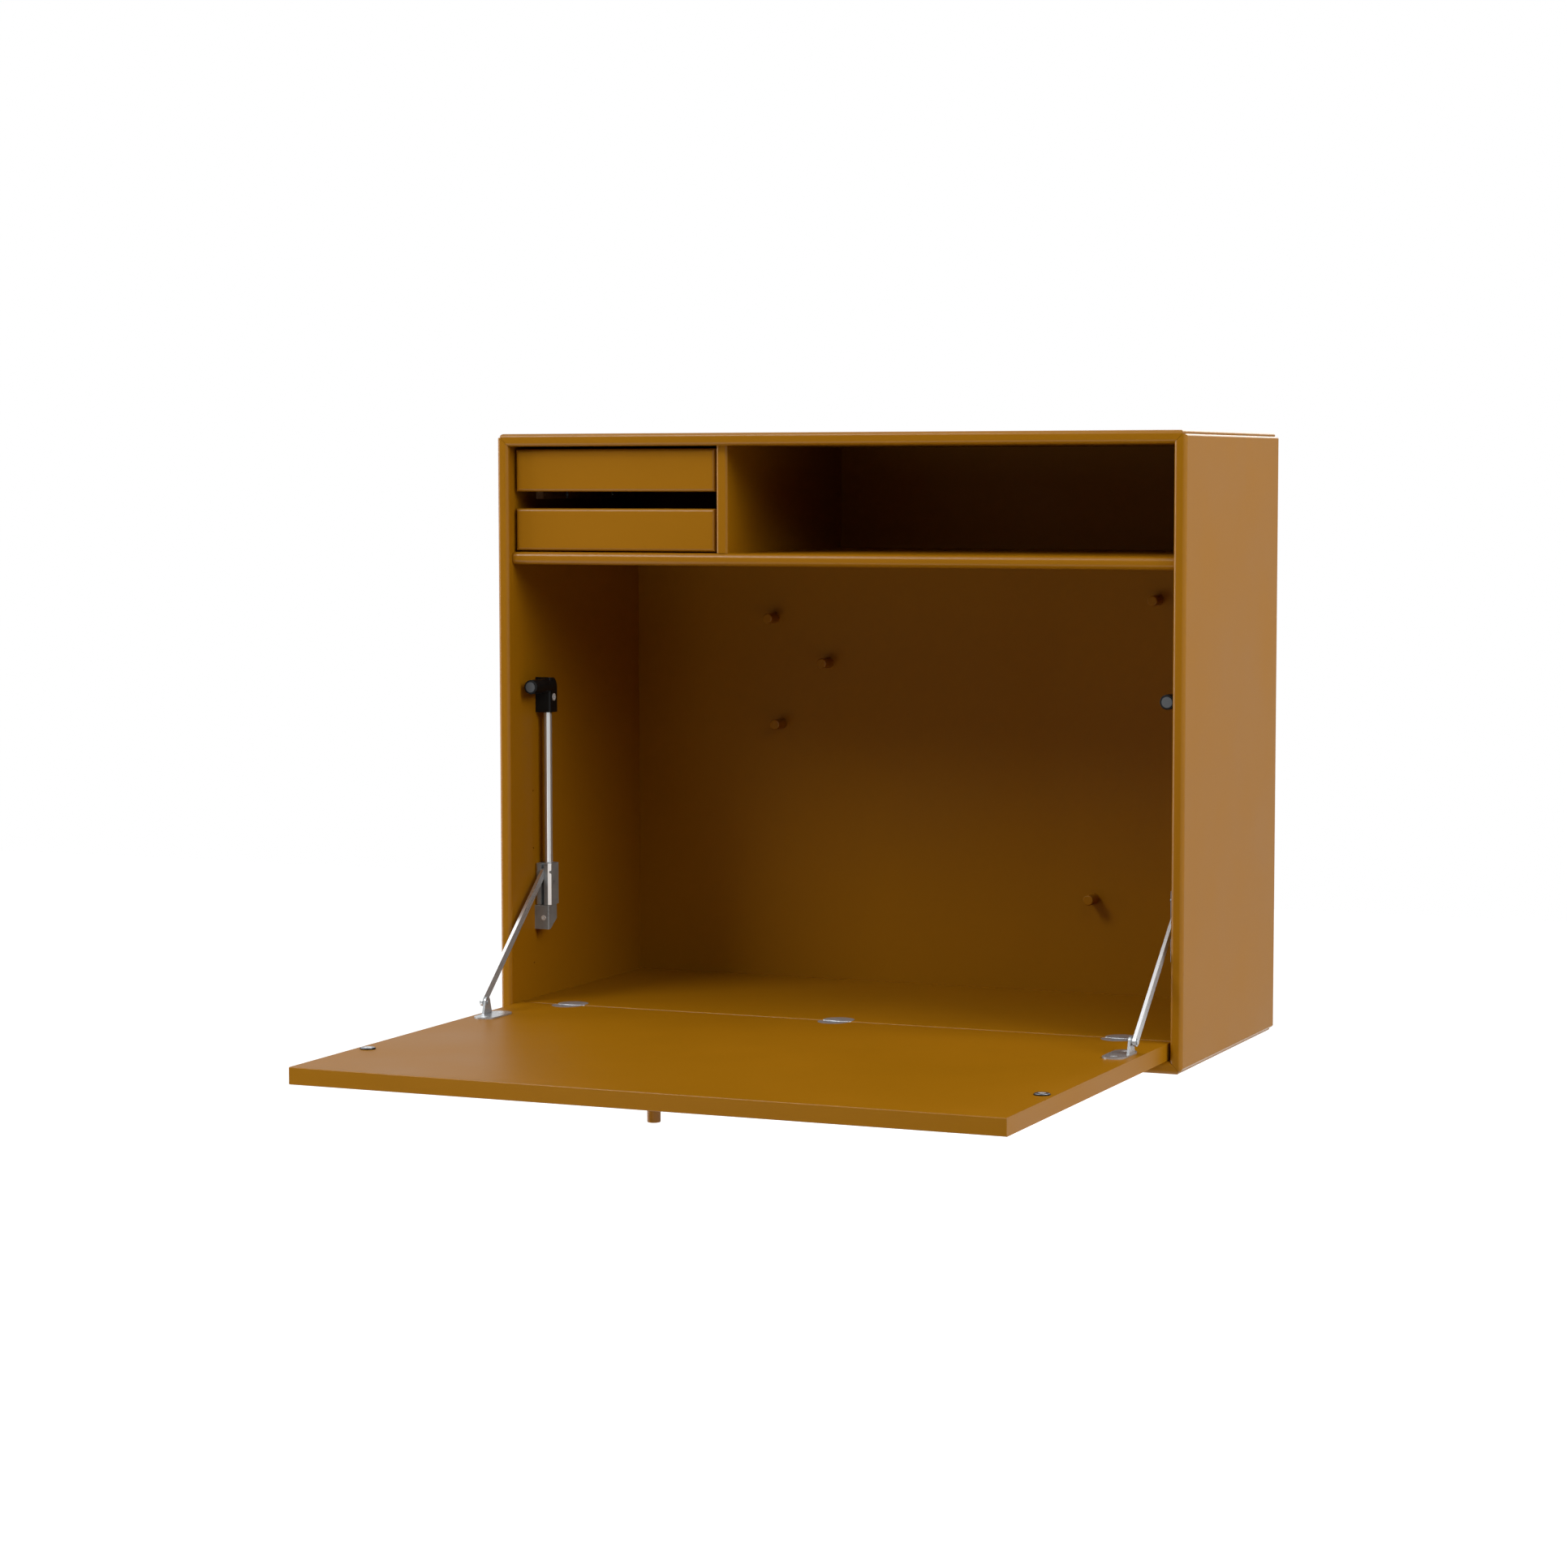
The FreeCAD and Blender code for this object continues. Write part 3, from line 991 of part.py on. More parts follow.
keep("lower_tray_glides", group("lower_tray_glides", glides))

doc.recompute()

faults = [o.Name for o in doc.Objects if "Invalid" in o.State or "Error" in o.State]
for label, thing in subparts:
    shape = thing.Shape
    if shape.isNull() or not shape.isValid() or not shape.Solids:
        faults.append(label)
if faults:
    raise RuntimeError("failed: " + ", ".join(faults))

os.makedirs("parts", exist_ok=True)
for label, thing in subparts:
    thing.Shape.exportStep(f"parts/{label}.step")

print(len(subparts), "sub-parts,", sum(len(t.Shape.Solids) for _, t in subparts), "solids")
for meaning, place in (("flap axis", (axis_y, axis_z)), ("bracket pin", (lug_pin_y, lug_pin_z)),
                       ("slider pivot", (pivot_y, pivot_z)), ("magnet face", (magnet_face, magnet_z))):
    print(meaning, [round(p.value, 3) for p in place])
print("flap length", round(flap_long.value, 2), "floor front", round(floor_front.value, 3))
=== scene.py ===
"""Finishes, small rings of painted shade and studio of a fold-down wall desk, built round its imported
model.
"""
import json
import math

import bpy
import numpy as np
from mathutils import Euler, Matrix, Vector


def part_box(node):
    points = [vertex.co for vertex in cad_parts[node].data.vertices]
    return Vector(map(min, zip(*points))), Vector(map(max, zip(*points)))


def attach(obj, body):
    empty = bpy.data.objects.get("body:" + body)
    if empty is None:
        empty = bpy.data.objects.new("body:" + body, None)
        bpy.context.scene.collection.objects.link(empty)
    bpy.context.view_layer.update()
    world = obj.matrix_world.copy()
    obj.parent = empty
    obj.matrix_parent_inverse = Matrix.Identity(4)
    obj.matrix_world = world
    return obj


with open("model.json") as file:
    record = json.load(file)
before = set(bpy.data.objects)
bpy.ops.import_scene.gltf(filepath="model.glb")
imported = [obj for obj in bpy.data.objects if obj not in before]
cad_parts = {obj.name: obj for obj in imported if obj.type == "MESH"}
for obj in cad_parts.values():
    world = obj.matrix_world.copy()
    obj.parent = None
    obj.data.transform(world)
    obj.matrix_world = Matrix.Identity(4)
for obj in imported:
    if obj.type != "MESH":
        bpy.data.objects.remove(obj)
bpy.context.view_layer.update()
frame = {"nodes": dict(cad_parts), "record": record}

bl_info = {
    "name": "Fold-down wall desk",
    "version": (1, 0, 0),
    "blender": (4, 5, 0),
    "location": "3D View > Sidebar > Desk",
    "description": "Lacquer, fittings and studio for a wall desk with a drop flap",
    "category": "Object",
}

MM = 0.001
SIDES = ("left", "right")
HINGES = ("left", "middle", "right")

# Brushing, in waves per metre along X, Y and Z: the slow axis is the way that the brush ran
BRUSH_Y = (900.0, 60.0, 900.0)
BRUSH_EVEN = (1500.0, 1500.0, 1500.0)
BRUSH_ROD = (1600.0, 1600.0, 40.0)
BRUSH_HINGE = (60.0, 1200.0, 1200.0)
BRUSH_GLIDE = (900.0, 12.0, 900.0)

# Plated finishes: colour, metallic share, roughness and brushing
METALS = {
    "polished rod": ((0.62, 0.63, 0.64), 0.62, 0.14, BRUSH_ROD),
    "hinge nickel": ((0.42, 0.43, 0.45), 0.50, 0.30, BRUSH_HINGE),
    "strike steel": ((0.18, 0.19, 0.215), 0.80, 0.28, BRUSH_Y),
    "zinc": ((0.74, 0.77, 0.79), 0.45, 0.28, BRUSH_EVEN),
    "magnet cap": ((0.06, 0.065, 0.07), 0.50, 0.40, BRUSH_EVEN),
}
ARM_LEAN = math.radians(-41.2)
# painted highlight colour for the rounded edges of the stay arms
ARM_EDGE_HIGHLIGHT = (0.70, 0.71, 0.72)
# painted highlight colour for a casting's rounded edges
PAINTED_EDGE_HIGHLIGHT = (0.80, 0.80, 0.79)

RING_STEPS = 72
FLOOR_HALF = 7.0
FLOOR_CENTRE_Y = -0.3
SENSOR_WIDTH = 36.0


class DeskFinishes(bpy.types.PropertyGroup):
    """Colours and surface sizes of the desk's materials."""

    lacquer: bpy.props.FloatVectorProperty(
        name="Lacquer", description="Colour of the lacquered boards", subtype="COLOR",
        size=3, min=0, max=1, default=(0.296, 0.120, 0.002))
    lacquer_roughness: bpy.props.FloatProperty(
        name="Lacquer roughness", description="Satin of the lacquer", subtype="FACTOR",
        min=0, max=1, default=0.42)
    peel: bpy.props.FloatProperty(
        name="Orange peel", description="Width of one ripple in the sprayed lacquer", unit="LENGTH",
        default=1.6 * MM)
    # the lacquer is painted lighter in this band along each edge, as a highlight, and is a little smoother
    # there
    edge: bpy.props.FloatProperty(
        name="Edge sheen", description="Width of the polished band along an edge", unit="LENGTH",
        default=1.2 * MM)
    nickel: bpy.props.FloatVectorProperty(
        name="Nickel", description="Colour of the plated fittings", subtype="COLOR",
        size=3, min=0, max=1, default=(0.40, 0.42, 0.435))
    casting: bpy.props.FloatVectorProperty(
        name="Casting", description="Colour of the grey stay castings", subtype="COLOR",
        size=3, min=0, max=1, default=(0.26, 0.280, 0.290))
    moulding: bpy.props.FloatVectorProperty(
        name="Moulding", description="Colour of the black stay elbows", subtype="COLOR",
        size=3, min=0, max=1, default=(0.004, 0.004, 0.004))


class DeskShadeRings(bpy.types.PropertyGroup):
    """Sizes of the black rings on the flap, painted shade round the strike plates."""

    ring_wide: bpy.props.FloatProperty(
        name="Strike ring", description="Width of the painted shade ring round a strike plate", unit="LENGTH",
        default=0.7 * MM)
    ring_tall: bpy.props.FloatProperty(
        name="Strike ring height", description="Height of that ring over the flap", unit="LENGTH",
        default=1.05 * MM)


class DeskStage(bpy.types.PropertyGroup):
    """The studio round the desk."""

    floor_drop: bpy.props.FloatProperty(
        name="Floor", description="Floor below the underside of the desk", unit="LENGTH", default=0.72)
    fill: bpy.props.FloatProperty(
        name="Fill", description="Strength of the light from all round", default=0.02)
    lens: bpy.props.FloatProperty(
        name="Lens", description="Focal length of the camera on a 36 mm sensor", default=85.51)
    camera_place: bpy.props.FloatVectorProperty(
        name="Camera", description="Place of the camera", subtype="TRANSLATION",
        size=3, default=(1.34448, -3.51722, 0.54145))
    camera_turn: bpy.props.FloatVectorProperty(
        name="Camera turn", description="Pitch, roll and yaw of the camera", subtype="EULER",
        size=3, default=(math.radians(85.30), math.radians(0.07), math.radians(23.36)))


# Lamps: azimuth and elevation as seen from the desk in degrees, distance and width in metres, level on a
# facing surface
LAMPS = {
    "lamp_left": (-75, 5, 3.5, 2.0, 0.54),
    "lamp_high_left": (-75, 62, 3.5, 2.0, 0.09),
    "lamp_front_left": (-36, 40, 3.5, 1.2, 0.42),
    "lamp_front_right": (45, 35, 3.5, 2.0, 0.2),
    "lamp_right": (82, 32, 3.5, 2.0, 0.74),
    "lamp_low_front": (-15, -18, 1.55, 0.7, 0.08),
    "lamp_rear": (175, 32, 3.5, 2.0, 0.4),
}
LAMP_AIM = Vector((0.0, -0.25, 0.25))


def node(tree, kind, inputs=None, **traits):
    """Adds a node, sets its traits, and sets or links its inputs."""
    new = tree.nodes.new(kind)
    for trait, value in traits.items():
        setattr(new, trait, value)
    for name, value in (inputs or {}).items():
        if isinstance(value, bpy.types.NodeSocket):
            tree.links.new(value, new.inputs[name])
        else:
            new.inputs[name].default_value = value
    return new


def maths(tree, operation, first, second=0.0):
    """One operation on two numbers or sockets."""
    return node(tree, "ShaderNodeMath", {0: first, 1: second}, operation=operation).outputs[0]


def remap(tree, value, low, high, to_low=0.0, to_high=1.0):
    """Moves a value in a straight line from one range to another, and holds it at the ends."""
    names = {"Value": value, "From Min": low, "From Max": high, "To Min": to_low, "To Max": to_high}
    return node(tree, "ShaderNodeMapRange", names).outputs["Result"]


def noise(tree, place, scale, detail, roughness=0.5):
    """Soft noise with so many waves per metre, and finer waves added in steps."""
    names = {"Vector": place, "Scale": scale, "Detail": detail, "Roughness": roughness}
    return node(tree, "ShaderNodeTexNoise", names).outputs


def blend(tree, share, first, second):
    """Mixes two colours by a share from 0 to 1."""
    mixer = node(tree, "ShaderNodeMix", {"Factor": share}, data_type="RGBA")
    for name, colour in (("A", first), ("B", second)):
        socket = next(s for s in mixer.inputs if s.name == name and s.type == "RGBA")
        if isinstance(colour, bpy.types.NodeSocket):
            tree.links.new(colour, socket)
        else:
            socket.default_value = (*colour[:3], 1)
    return next(s for s in mixer.outputs if s.type == "RGBA")


def effect(name, inputs, outputs):
    """Starts a shader node group with named sockets, and gives its tree, input and output nodes."""
    tree = bpy.data.node_groups.new(name, "ShaderNodeTree")
    for label, kind, value in inputs:
        socket = tree.interface.new_socket(label, in_out="INPUT", socket_type=kind)
        if value is not None:
            socket.default_value = value
    for label in outputs:
        tree.interface.new_socket(label, in_out="OUTPUT", socket_type="NodeSocketFloat")
    return tree, tree.nodes.new("NodeGroupInput"), tree.nodes.new("NodeGroupOutput")


VECTOR, FLOAT = "NodeSocketVector", "NodeSocketFloat"


def effect_spray():
    """Sprayed lacquer: fine ripples of the given width, with faint clouds of thicker film."""
    tree, given, out = effect(
        "sprayed film", [("Vector", VECTOR, None), ("Ripple", FLOAT, 0.0016)], ["Height", "Cloud"])
    rate = maths(tree, "DIVIDE", 1.0, given.outputs["Ripple"])
    fine = noise(tree, given.outputs["Vector"], rate, 1.5, 0.45)["Fac"]
    cloud = noise(tree, given.outputs["Vector"], 7.0, 3.0, 0.55)["Fac"]
    tree.links.new(fine, out.inputs["Height"])
    tree.links.new(remap(tree, cloud, 0.3, 0.7), out.inputs["Cloud"])
    return tree


def effect_edge():
    """Edges of a piece: 0 on a flat face, up to 1 where a small ball rolled over the surface tilts."""
    tree, given, out = effect("edge band", [("Width", FLOAT, 0.001), ("Vector", VECTOR, None)], ["Mask"])
    soft = node(tree, "ShaderNodeBevel", {"Radius": given.outputs["Width"]}, samples=6)
    plain = node(tree, "ShaderNodeNewGeometry")
    along = node(tree, "ShaderNodeVectorMath", {0: soft.outputs[0], 1: plain.outputs["Normal"]},
                 operation="DOT_PRODUCT").outputs["Value"]
    tilt = remap(tree, along, 0.99, 0.80)
    broken = noise(tree, given.outputs["Vector"], 160.0, 3.0)["Fac"]
    share = remap(tree, broken, 0.35, 0.65, 0.35, 1.0)
    tree.links.new(maths(tree, "MULTIPLY", tilt, share), out.inputs["Mask"])
    return tree


def effect_turned():
    """Turned faces: 0 on a face square to an axis, up to 1 where the surface faces between two axes."""
    tree, given, out = effect("turned face", [("Normal", VECTOR, None)], ["Mask"])
    size = node(tree, "ShaderNodeVectorMath", {0: given.outputs["Normal"]}, operation="ABSOLUTE")
    parts = node(tree, "ShaderNodeSeparateXYZ", {0: size.outputs[0]}).outputs
    most = maths(tree, "MAXIMUM", parts[0], maths(tree, "MAXIMUM", parts[1], parts[2]))
    tree.links.new(remap(tree, most, 0.998, 0.93), out.inputs["Mask"])
    return tree


def effect_streak():
    """Brushing: noise drawn out along one axis, as the Stretch vector squeezes the others."""
    tree, given, out = effect(
        "brushing", [("Vector", VECTOR, None), ("Stretch", VECTOR, None)], ["Streak"])
    drawn = node(tree, "ShaderNodeVectorMath",
                 {0: given.outputs["Vector"], 1: given.outputs["Stretch"]}, operation="MULTIPLY")
    lines = noise(tree, drawn.outputs[0], 1.0, 4.0, 0.6)["Fac"]
    tree.links.new(remap(tree, lines, 0.3, 0.7), out.inputs["Streak"])
    return tree


def effect_grit():
    """Cast or moulded skin: close grains of the given width and a slower stain."""
    tree, given, out = effect(
        "moulded skin", [("Vector", VECTOR, None), ("Grain", FLOAT, 0.0004)], ["Height", "Stain"])
    rate = maths(tree, "DIVIDE", 1.0, given.outputs["Grain"])
    grain = node(tree, "ShaderNodeTexVoronoi", {"Vector": given.outputs["Vector"], "Scale": rate})
    stain = noise(tree, given.outputs["Vector"], 90.0, 4.0)["Fac"]
    tree.links.new(grain.outputs["Distance"], out.inputs["Height"])
    tree.links.new(remap(tree, stain, 0.3, 0.7), out.inputs["Stain"])
    return tree


def effect_grain():
    """Straight wood grain along Y: drawn-out rings with short dark pores."""
    tree, given, out = effect("wood grain", [("Vector", VECTOR, None)], ["Ring", "Pore"])
    bent = noise(tree, given.outputs["Vector"], 9.0, 2.0)["Color"]
    wander = node(tree, "ShaderNodeVectorMath", {0: bent, 1: (0.012, 0.0, 0.012)}, operation="MULTIPLY")
    moved = node(tree, "ShaderNodeVectorMath", {0: given.outputs["Vector"], 1: wander.outputs[0]})
    rings = node(tree, "ShaderNodeMapping", {"Vector": moved.outputs[0], "Scale": (190.0, 6.0, 190.0)})
    ring = noise(tree, rings.outputs[0], 1.0, 5.0)["Fac"]
    pores = node(tree, "ShaderNodeMapping", {"Vector": given.outputs["Vector"],
                                             "Scale": (2200.0, 160.0, 2200.0)})
    pore = noise(tree, pores.outputs[0], 1.0, 1.0)["Fac"]
    tree.links.new(remap(tree, ring, 0.3, 0.7), out.inputs["Ring"])
    tree.links.new(remap(tree, pore, 0.62, 0.72), out.inputs["Pore"])
    return tree


EFFECTS = {}


def use(tree, name, **inputs):
    """Places a shared effect, built the first time that it is wanted, in a material."""
    makers = {"spray": effect_spray, "edge": effect_edge, "turned": effect_turned, "streak": effect_streak,
              "grit": effect_grit, "grain": effect_grain}
    if name not in EFFECTS:
        EFFECTS[name] = makers[name]()
    placed = tree.nodes.new("ShaderNodeGroup")
    placed.node_tree = EFFECTS[name]
    for label, value in inputs.items():
        if isinstance(value, bpy.types.NodeSocket):
            tree.links.new(value, placed.inputs[label])
        else:
            placed.inputs[label].default_value = value
    return placed.outputs


def material(name):
    """A new material with its shader, and the object coordinates that its pattern reads."""
    made = bpy.data.materials.new(name)
    made.use_nodes = True
    tree = made.node_tree
    tree.nodes.clear()
    shader = tree.nodes.new("ShaderNodeBsdfPrincipled")
    out = tree.nodes.new("ShaderNodeOutputMaterial")
    tree.links.new(shader.outputs[0], out.inputs["Surface"])
    place = tree.nodes.new("ShaderNodeTexCoord").outputs["Object"]
    return made, tree, shader, place


def turned_mask(tree):
    """The mask of faces between two axes, from the piece's own normals."""
    facing = node(tree, "ShaderNodeTexCoord").outputs["Normal"]
    return use(tree, "turned", Normal=facing)["Mask"]


def bump(tree, shader, height, depth):
    """Raises the surface by a height of 0 to 1 times a depth in metres."""
    raised = node(tree, "ShaderNodeBump", {"Height": height, "Distance": depth, "Strength": 1.0})
    tree.links.new(raised.outputs[0], shader.inputs["Normal"])


def tint(colour, share):
    """A lighter or darker colour, each channel times the share."""
    return tuple(min(1.0, max(0.0, c * share)) for c in colour)


def amber_lacquer(finish):
    """Satin lacquer with faint spray, painted lighter along the edges as a highlight and a little smoother
    there, and glossier where an edge is rounded.
    """
    made, tree, shader, place = material("amber satin lacquer")
    film = use(tree, "spray", Vector=place, Ripple=finish.peel)
    edge = use(tree, "edge", Width=finish.edge, Vector=place)["Mask"]
    body = blend(tree, film["Cloud"], tint(finish.lacquer, 0.975), tint(finish.lacquer, 1.025))
    # painted highlight: the colour is lighter along edges, by the edge mask
    lighter_edges = blend(tree, maths(tree, "MULTIPLY", edge, 0.25), body, tint(finish.lacquer, 1.18))
    tree.links.new(lighter_edges, shader.inputs["Base Color"])
    rough = finish.lacquer_roughness
    cloudy = remap(tree, film["Cloud"], 0, 1, rough - 0.03, rough + 0.03)
    satin = maths(tree, "SUBTRACT", cloudy, maths(tree, "MULTIPLY", edge, 0.06))
    tree.links.new(satin, shader.inputs["Roughness"])
    shader.inputs["Specular IOR Level"].default_value = 0.08
    tree.links.new(maths(tree, "MULTIPLY", turned_mask(tree), 0.4), shader.inputs["Coat Weight"])
    shader.inputs["Coat Roughness"].default_value = 0.24
    bump(tree, shader, film["Height"], 0.012 * MM)
    return made


def tray_lacquer(finish):
    """Thin lacquer that lets the board's grain through."""
    made, tree, shader, place = material("thin tray lacquer")
    grain = use(tree, "grain", Vector=place)
    film = use(tree, "spray", Vector=place, Ripple=finish.peel)
    board = blend(tree, grain["Ring"], tint(finish.lacquer, 0.88), tint(finish.lacquer, 1.08))
    tree.links.new(board, shader.inputs["Base Color"])
    tree.links.new(remap(tree, film["Cloud"], 0, 1, 0.44, 0.54), shader.inputs["Roughness"])
    shader.inputs["Specular IOR Level"].default_value = 0.25
    bump(tree, shader, film["Height"], 0.015 * MM)
    return made


def bare_beech():
    """Straight pale grain with short dark pores."""
    made, tree, shader, place = material("bare beech")
    grain = use(tree, "grain", Vector=place)
    wood = blend(tree, grain["Ring"], (0.42, 0.24, 0.11), (0.56, 0.35, 0.18))
    flecked = blend(tree, maths(tree, "MULTIPLY", grain["Pore"], 0.6), wood, (0.25, 0.12, 0.05))
    tree.links.new(flecked, shader.inputs["Base Color"])
    tree.links.new(remap(tree, grain["Ring"], 0, 1, 0.55, 0.7), shader.inputs["Roughness"])
    bump(tree, shader, grain["Pore"], -0.05 * MM)
    return made


def plated(name, colour, metal, rough, stretch, spread=0.035, depth=0.0006 * MM, lean=0.0,
           gleaming=None):
    """Plated or gleaming metal with brushing along the axis that stretch leaves slow, and lighter edges.

    The brushing leans by an angle about X. Faces between two axes can take a given light colour and a
    higher metallic share, a painted highlight along rounded edges.
    """
    made, tree, shader, place = material(name)
    leant = node(tree, "ShaderNodeMapping", {"Vector": place, "Rotation": (lean, 0.0, 0.0)}).outputs[0]
    streak = use(tree, "streak", Vector=leant, Stretch=stretch)["Streak"]
    stain = use(tree, "grit", Vector=place, Grain=0.5 * MM)["Stain"]
    edge = use(tree, "edge", Width=0.5 * MM, Vector=place)["Mask"]
    shine = blend(tree, streak, tint(colour, 0.97), tint(colour, 1.03))
    dulled = blend(tree, maths(tree, "MULTIPLY", stain, 0.08), shine, tint(colour, 0.85))
    lighter_edges = blend(tree, maths(tree, "MULTIPLY", edge, 0.6), dulled, tint(colour, 1.6))
    shader.inputs["Metallic"].default_value = metal
    # painted highlight: faces between two axes, the rounded edges, take the given light colour and a higher
    # metallic share
    if gleaming:
        slope = turned_mask(tree)
        lighter_edges = blend(tree, slope, lighter_edges, gleaming)
        tree.links.new(remap(tree, slope, 0, 1, metal, 0.9), shader.inputs["Metallic"])
    tree.links.new(lighter_edges, shader.inputs["Base Color"])
    brushed = remap(tree, streak, 0, 1, rough - spread, rough + spread)
    tree.links.new(brushed, shader.inputs["Roughness"])
    bump(tree, shader, streak, depth)
    return made


def grey_casting(finish, highlighted=False):
    """Cast skin with lighter edges; a highlighted casting has a painted highlight, a pale and more metallic
    colour, on its rounded edges.
    """
    made, tree, shader, place = material("rubbed grey casting" if highlighted else "satin grey casting")
    skin = use(tree, "grit", Vector=place, Grain=0.35 * MM)
    edge = use(tree, "edge", Width=0.6 * MM, Vector=place)["Mask"]
    body = blend(tree, skin["Stain"], tint(finish.casting, 0.85), tint(finish.casting, 1.12))
    lighter_edges = blend(tree, maths(tree, "MULTIPLY", edge, 0.5), body, tint(finish.casting, 2.2))
    shader.inputs["Metallic"].default_value = 0.3
    # painted highlight: rounded edges take a pale colour and a higher metallic share
    if highlighted:
        slope = turned_mask(tree)
        lighter_edges = blend(tree, slope, lighter_edges, PAINTED_EDGE_HIGHLIGHT)
        tree.links.new(remap(tree, slope, 0, 1, 0.3, 0.85), shader.inputs["Metallic"])
    tree.links.new(lighter_edges, shader.inputs["Base Color"])
    tree.links.new(remap(tree, skin["Stain"], 0, 1, 0.27, 0.36), shader.inputs["Roughness"])
    bump(tree, shader, skin["Height"], 0.012 * MM)
    return made


def black_moulding(finish):
    """Fine moulded skin with slightly paler edges."""
    made, tree, shader, place = material("satin black moulding")
    skin = use(tree, "grit", Vector=place, Grain=0.3 * MM)
    edge = use(tree, "edge", Width=0.5 * MM, Vector=place)["Mask"]
    body = blend(tree, skin["Stain"], tint(finish.moulding, 0.8), tint(finish.moulding, 1.3))
    tree.links.new(blend(tree, maths(tree, "MULTIPLY", edge, 0.4), body, tint(finish.moulding, 4)),
                   shader.inputs["Base Color"])
    tree.links.new(remap(tree, skin["Stain"], 0, 1, 0.36, 0.46), shader.inputs["Roughness"])
    shader.inputs["Specular IOR Level"].default_value = 0.12
    bump(tree, shader, skin["Height"], 0.025 * MM)
    return made


def smooth_glide():
    """Pale plastic, scuffed along its length by the tray."""
    made, tree, shader, place = material("smooth glide strip")
    streak = use(tree, "streak", Vector=place, Stretch=BRUSH_GLIDE)["Streak"]
    tree.links.new(blend(tree, streak, (0.55, 0.53, 0.48), (0.66, 0.64, 0.58)), shader.inputs["Base Color"])
    tree.links.new(remap(tree, streak, 0, 1, 0.3, 0.45), shader.inputs["Roughness"])
    bump(tree, shader, streak, 0.01 * MM)
    return made


def paint(made, *names):
    """Gives CAD nodes a finished material in their own slots."""
    for name in names:
        for holder in frame["nodes"][name].material_slots:
            holder.material = made


def nodes_in(slot):
    """The CAD nodes that take their finish from one of the record's material slots."""
    found = [part["node"] for part in frame["record"]["subparts"] if part["material_slot"] == slot]
    if not found:
        raise KeyError(slot)
    return found


def mesh_piece(name, points, faces, made, smooth=True):
    """A piece from whole arrays of points and faces, at the origin and with its place in its mesh."""
    mesh = bpy.data.meshes.new(name)
    mesh.from_pydata(points.tolist(), [], faces)
    mesh.polygons.foreach_set("use_smooth", np.full(len(mesh.polygons), smooth))
    mesh.update()
    mesh.materials.append(made)
    piece = bpy.data.objects.new(name, mesh)
    bpy.context.scene.collection.objects.link(piece)
    return piece


def grid_faces(rows, columns, loop_rows=False, loop_columns=False):
    """Four-sided faces of a grid, closed round in either direction."""
    row = np.arange(rows if loop_rows else rows - 1)
    column = np.arange(columns if loop_columns else columns - 1)
    a, b = np.meshgrid(row, column, indexing="ij")
    after_a, after_b = (a + 1) % rows, (b + 1) % columns
    corners = [a * columns + b, a * columns + after_b,
               after_a * columns + after_b, after_a * columns + b]
    return np.stack(corners, -1).reshape(-1, 4).tolist()


def turned(profile, centre):
    """A profile of radius r and height turned about an upright axis: x = r cos t, y = r sin t."""
    radius, height = np.asarray(profile, float).T
    angle = np.linspace(0, 2 * np.pi, RING_STEPS, endpoint=False)
    grid = np.stack([np.outer(radius, np.cos(angle)), np.outer(radius, np.sin(angle)),
                     np.outer(height, np.ones(RING_STEPS))], -1)
    return (grid + np.asarray(centre)).reshape(-1, 3)


class DESK_OT_lacquer(bpy.types.Operator):
    """Sprays the boards, trays, pegs and knob"""

    bl_idname = "desk.lacquer"
    bl_label = "Lacquer"

    def execute(self, context):
        finish = context.scene.desk_finishes
        paint(amber_lacquer(finish), *nodes_in("lacquer"))
        paint(tray_lacquer(finish), *nodes_in("tray_board"))
        paint(bare_beech(), *nodes_in("beech"))
        paint(smooth_glide(), *nodes_in("glide_plastic"))
        return {"FINISHED"}


class DESK_OT_fittings(bpy.types.Operator):
    """Plates and moulds the stays, hinges, strikes and screws"""

    bl_idname = "desk.fittings"
    bl_label = "Fittings"

    def execute(self, context):
        finish = context.scene.desk_finishes
        arms, rods, pivots, strikes = (
            [f"{side}_{piece}" for side in SIDES]
            for piece in ("stay_arm", "stay_rod", "slider_pivot", "strike_plate"))
        leaves = [f"{place}_hinge_{half}_leaf" for place in HINGES for half in ("floor", "flap")]
        smooth = plated("bright nickel", finish.nickel, 0.62, 0.28, BRUSH_EVEN, 0.02, 0.0003 * MM)
        # the arms' rounded edges take a painted highlight colour
        brushed = plated("brushed arm", finish.nickel, 0.42, 0.28, BRUSH_Y, 0.015, 0.0002 * MM,
                         ARM_LEAN, ARM_EDGE_HIGHLIGHT)
        paint(smooth, *nodes_in("nickel"))
        paint(brushed, *arms)
        paint(grey_casting(finish), *nodes_in("grey_diecast"), *pivots)
        # painted highlight on the rounded edges of the left slider only
        paint(grey_casting(finish, True), "left_stay_slider")
        paint(black_moulding(finish), *nodes_in("black_plastic"))
        plating = {"polished rod": rods, "hinge nickel": leaves, "strike steel": strikes,
                   "zinc": nodes_in("zinc_steel"), "magnet cap": nodes_in("magnet")}
        for name, pieces in plating.items():
            paint(plated(name, *METALS[name]), *pieces)
        return {"FINISHED"}


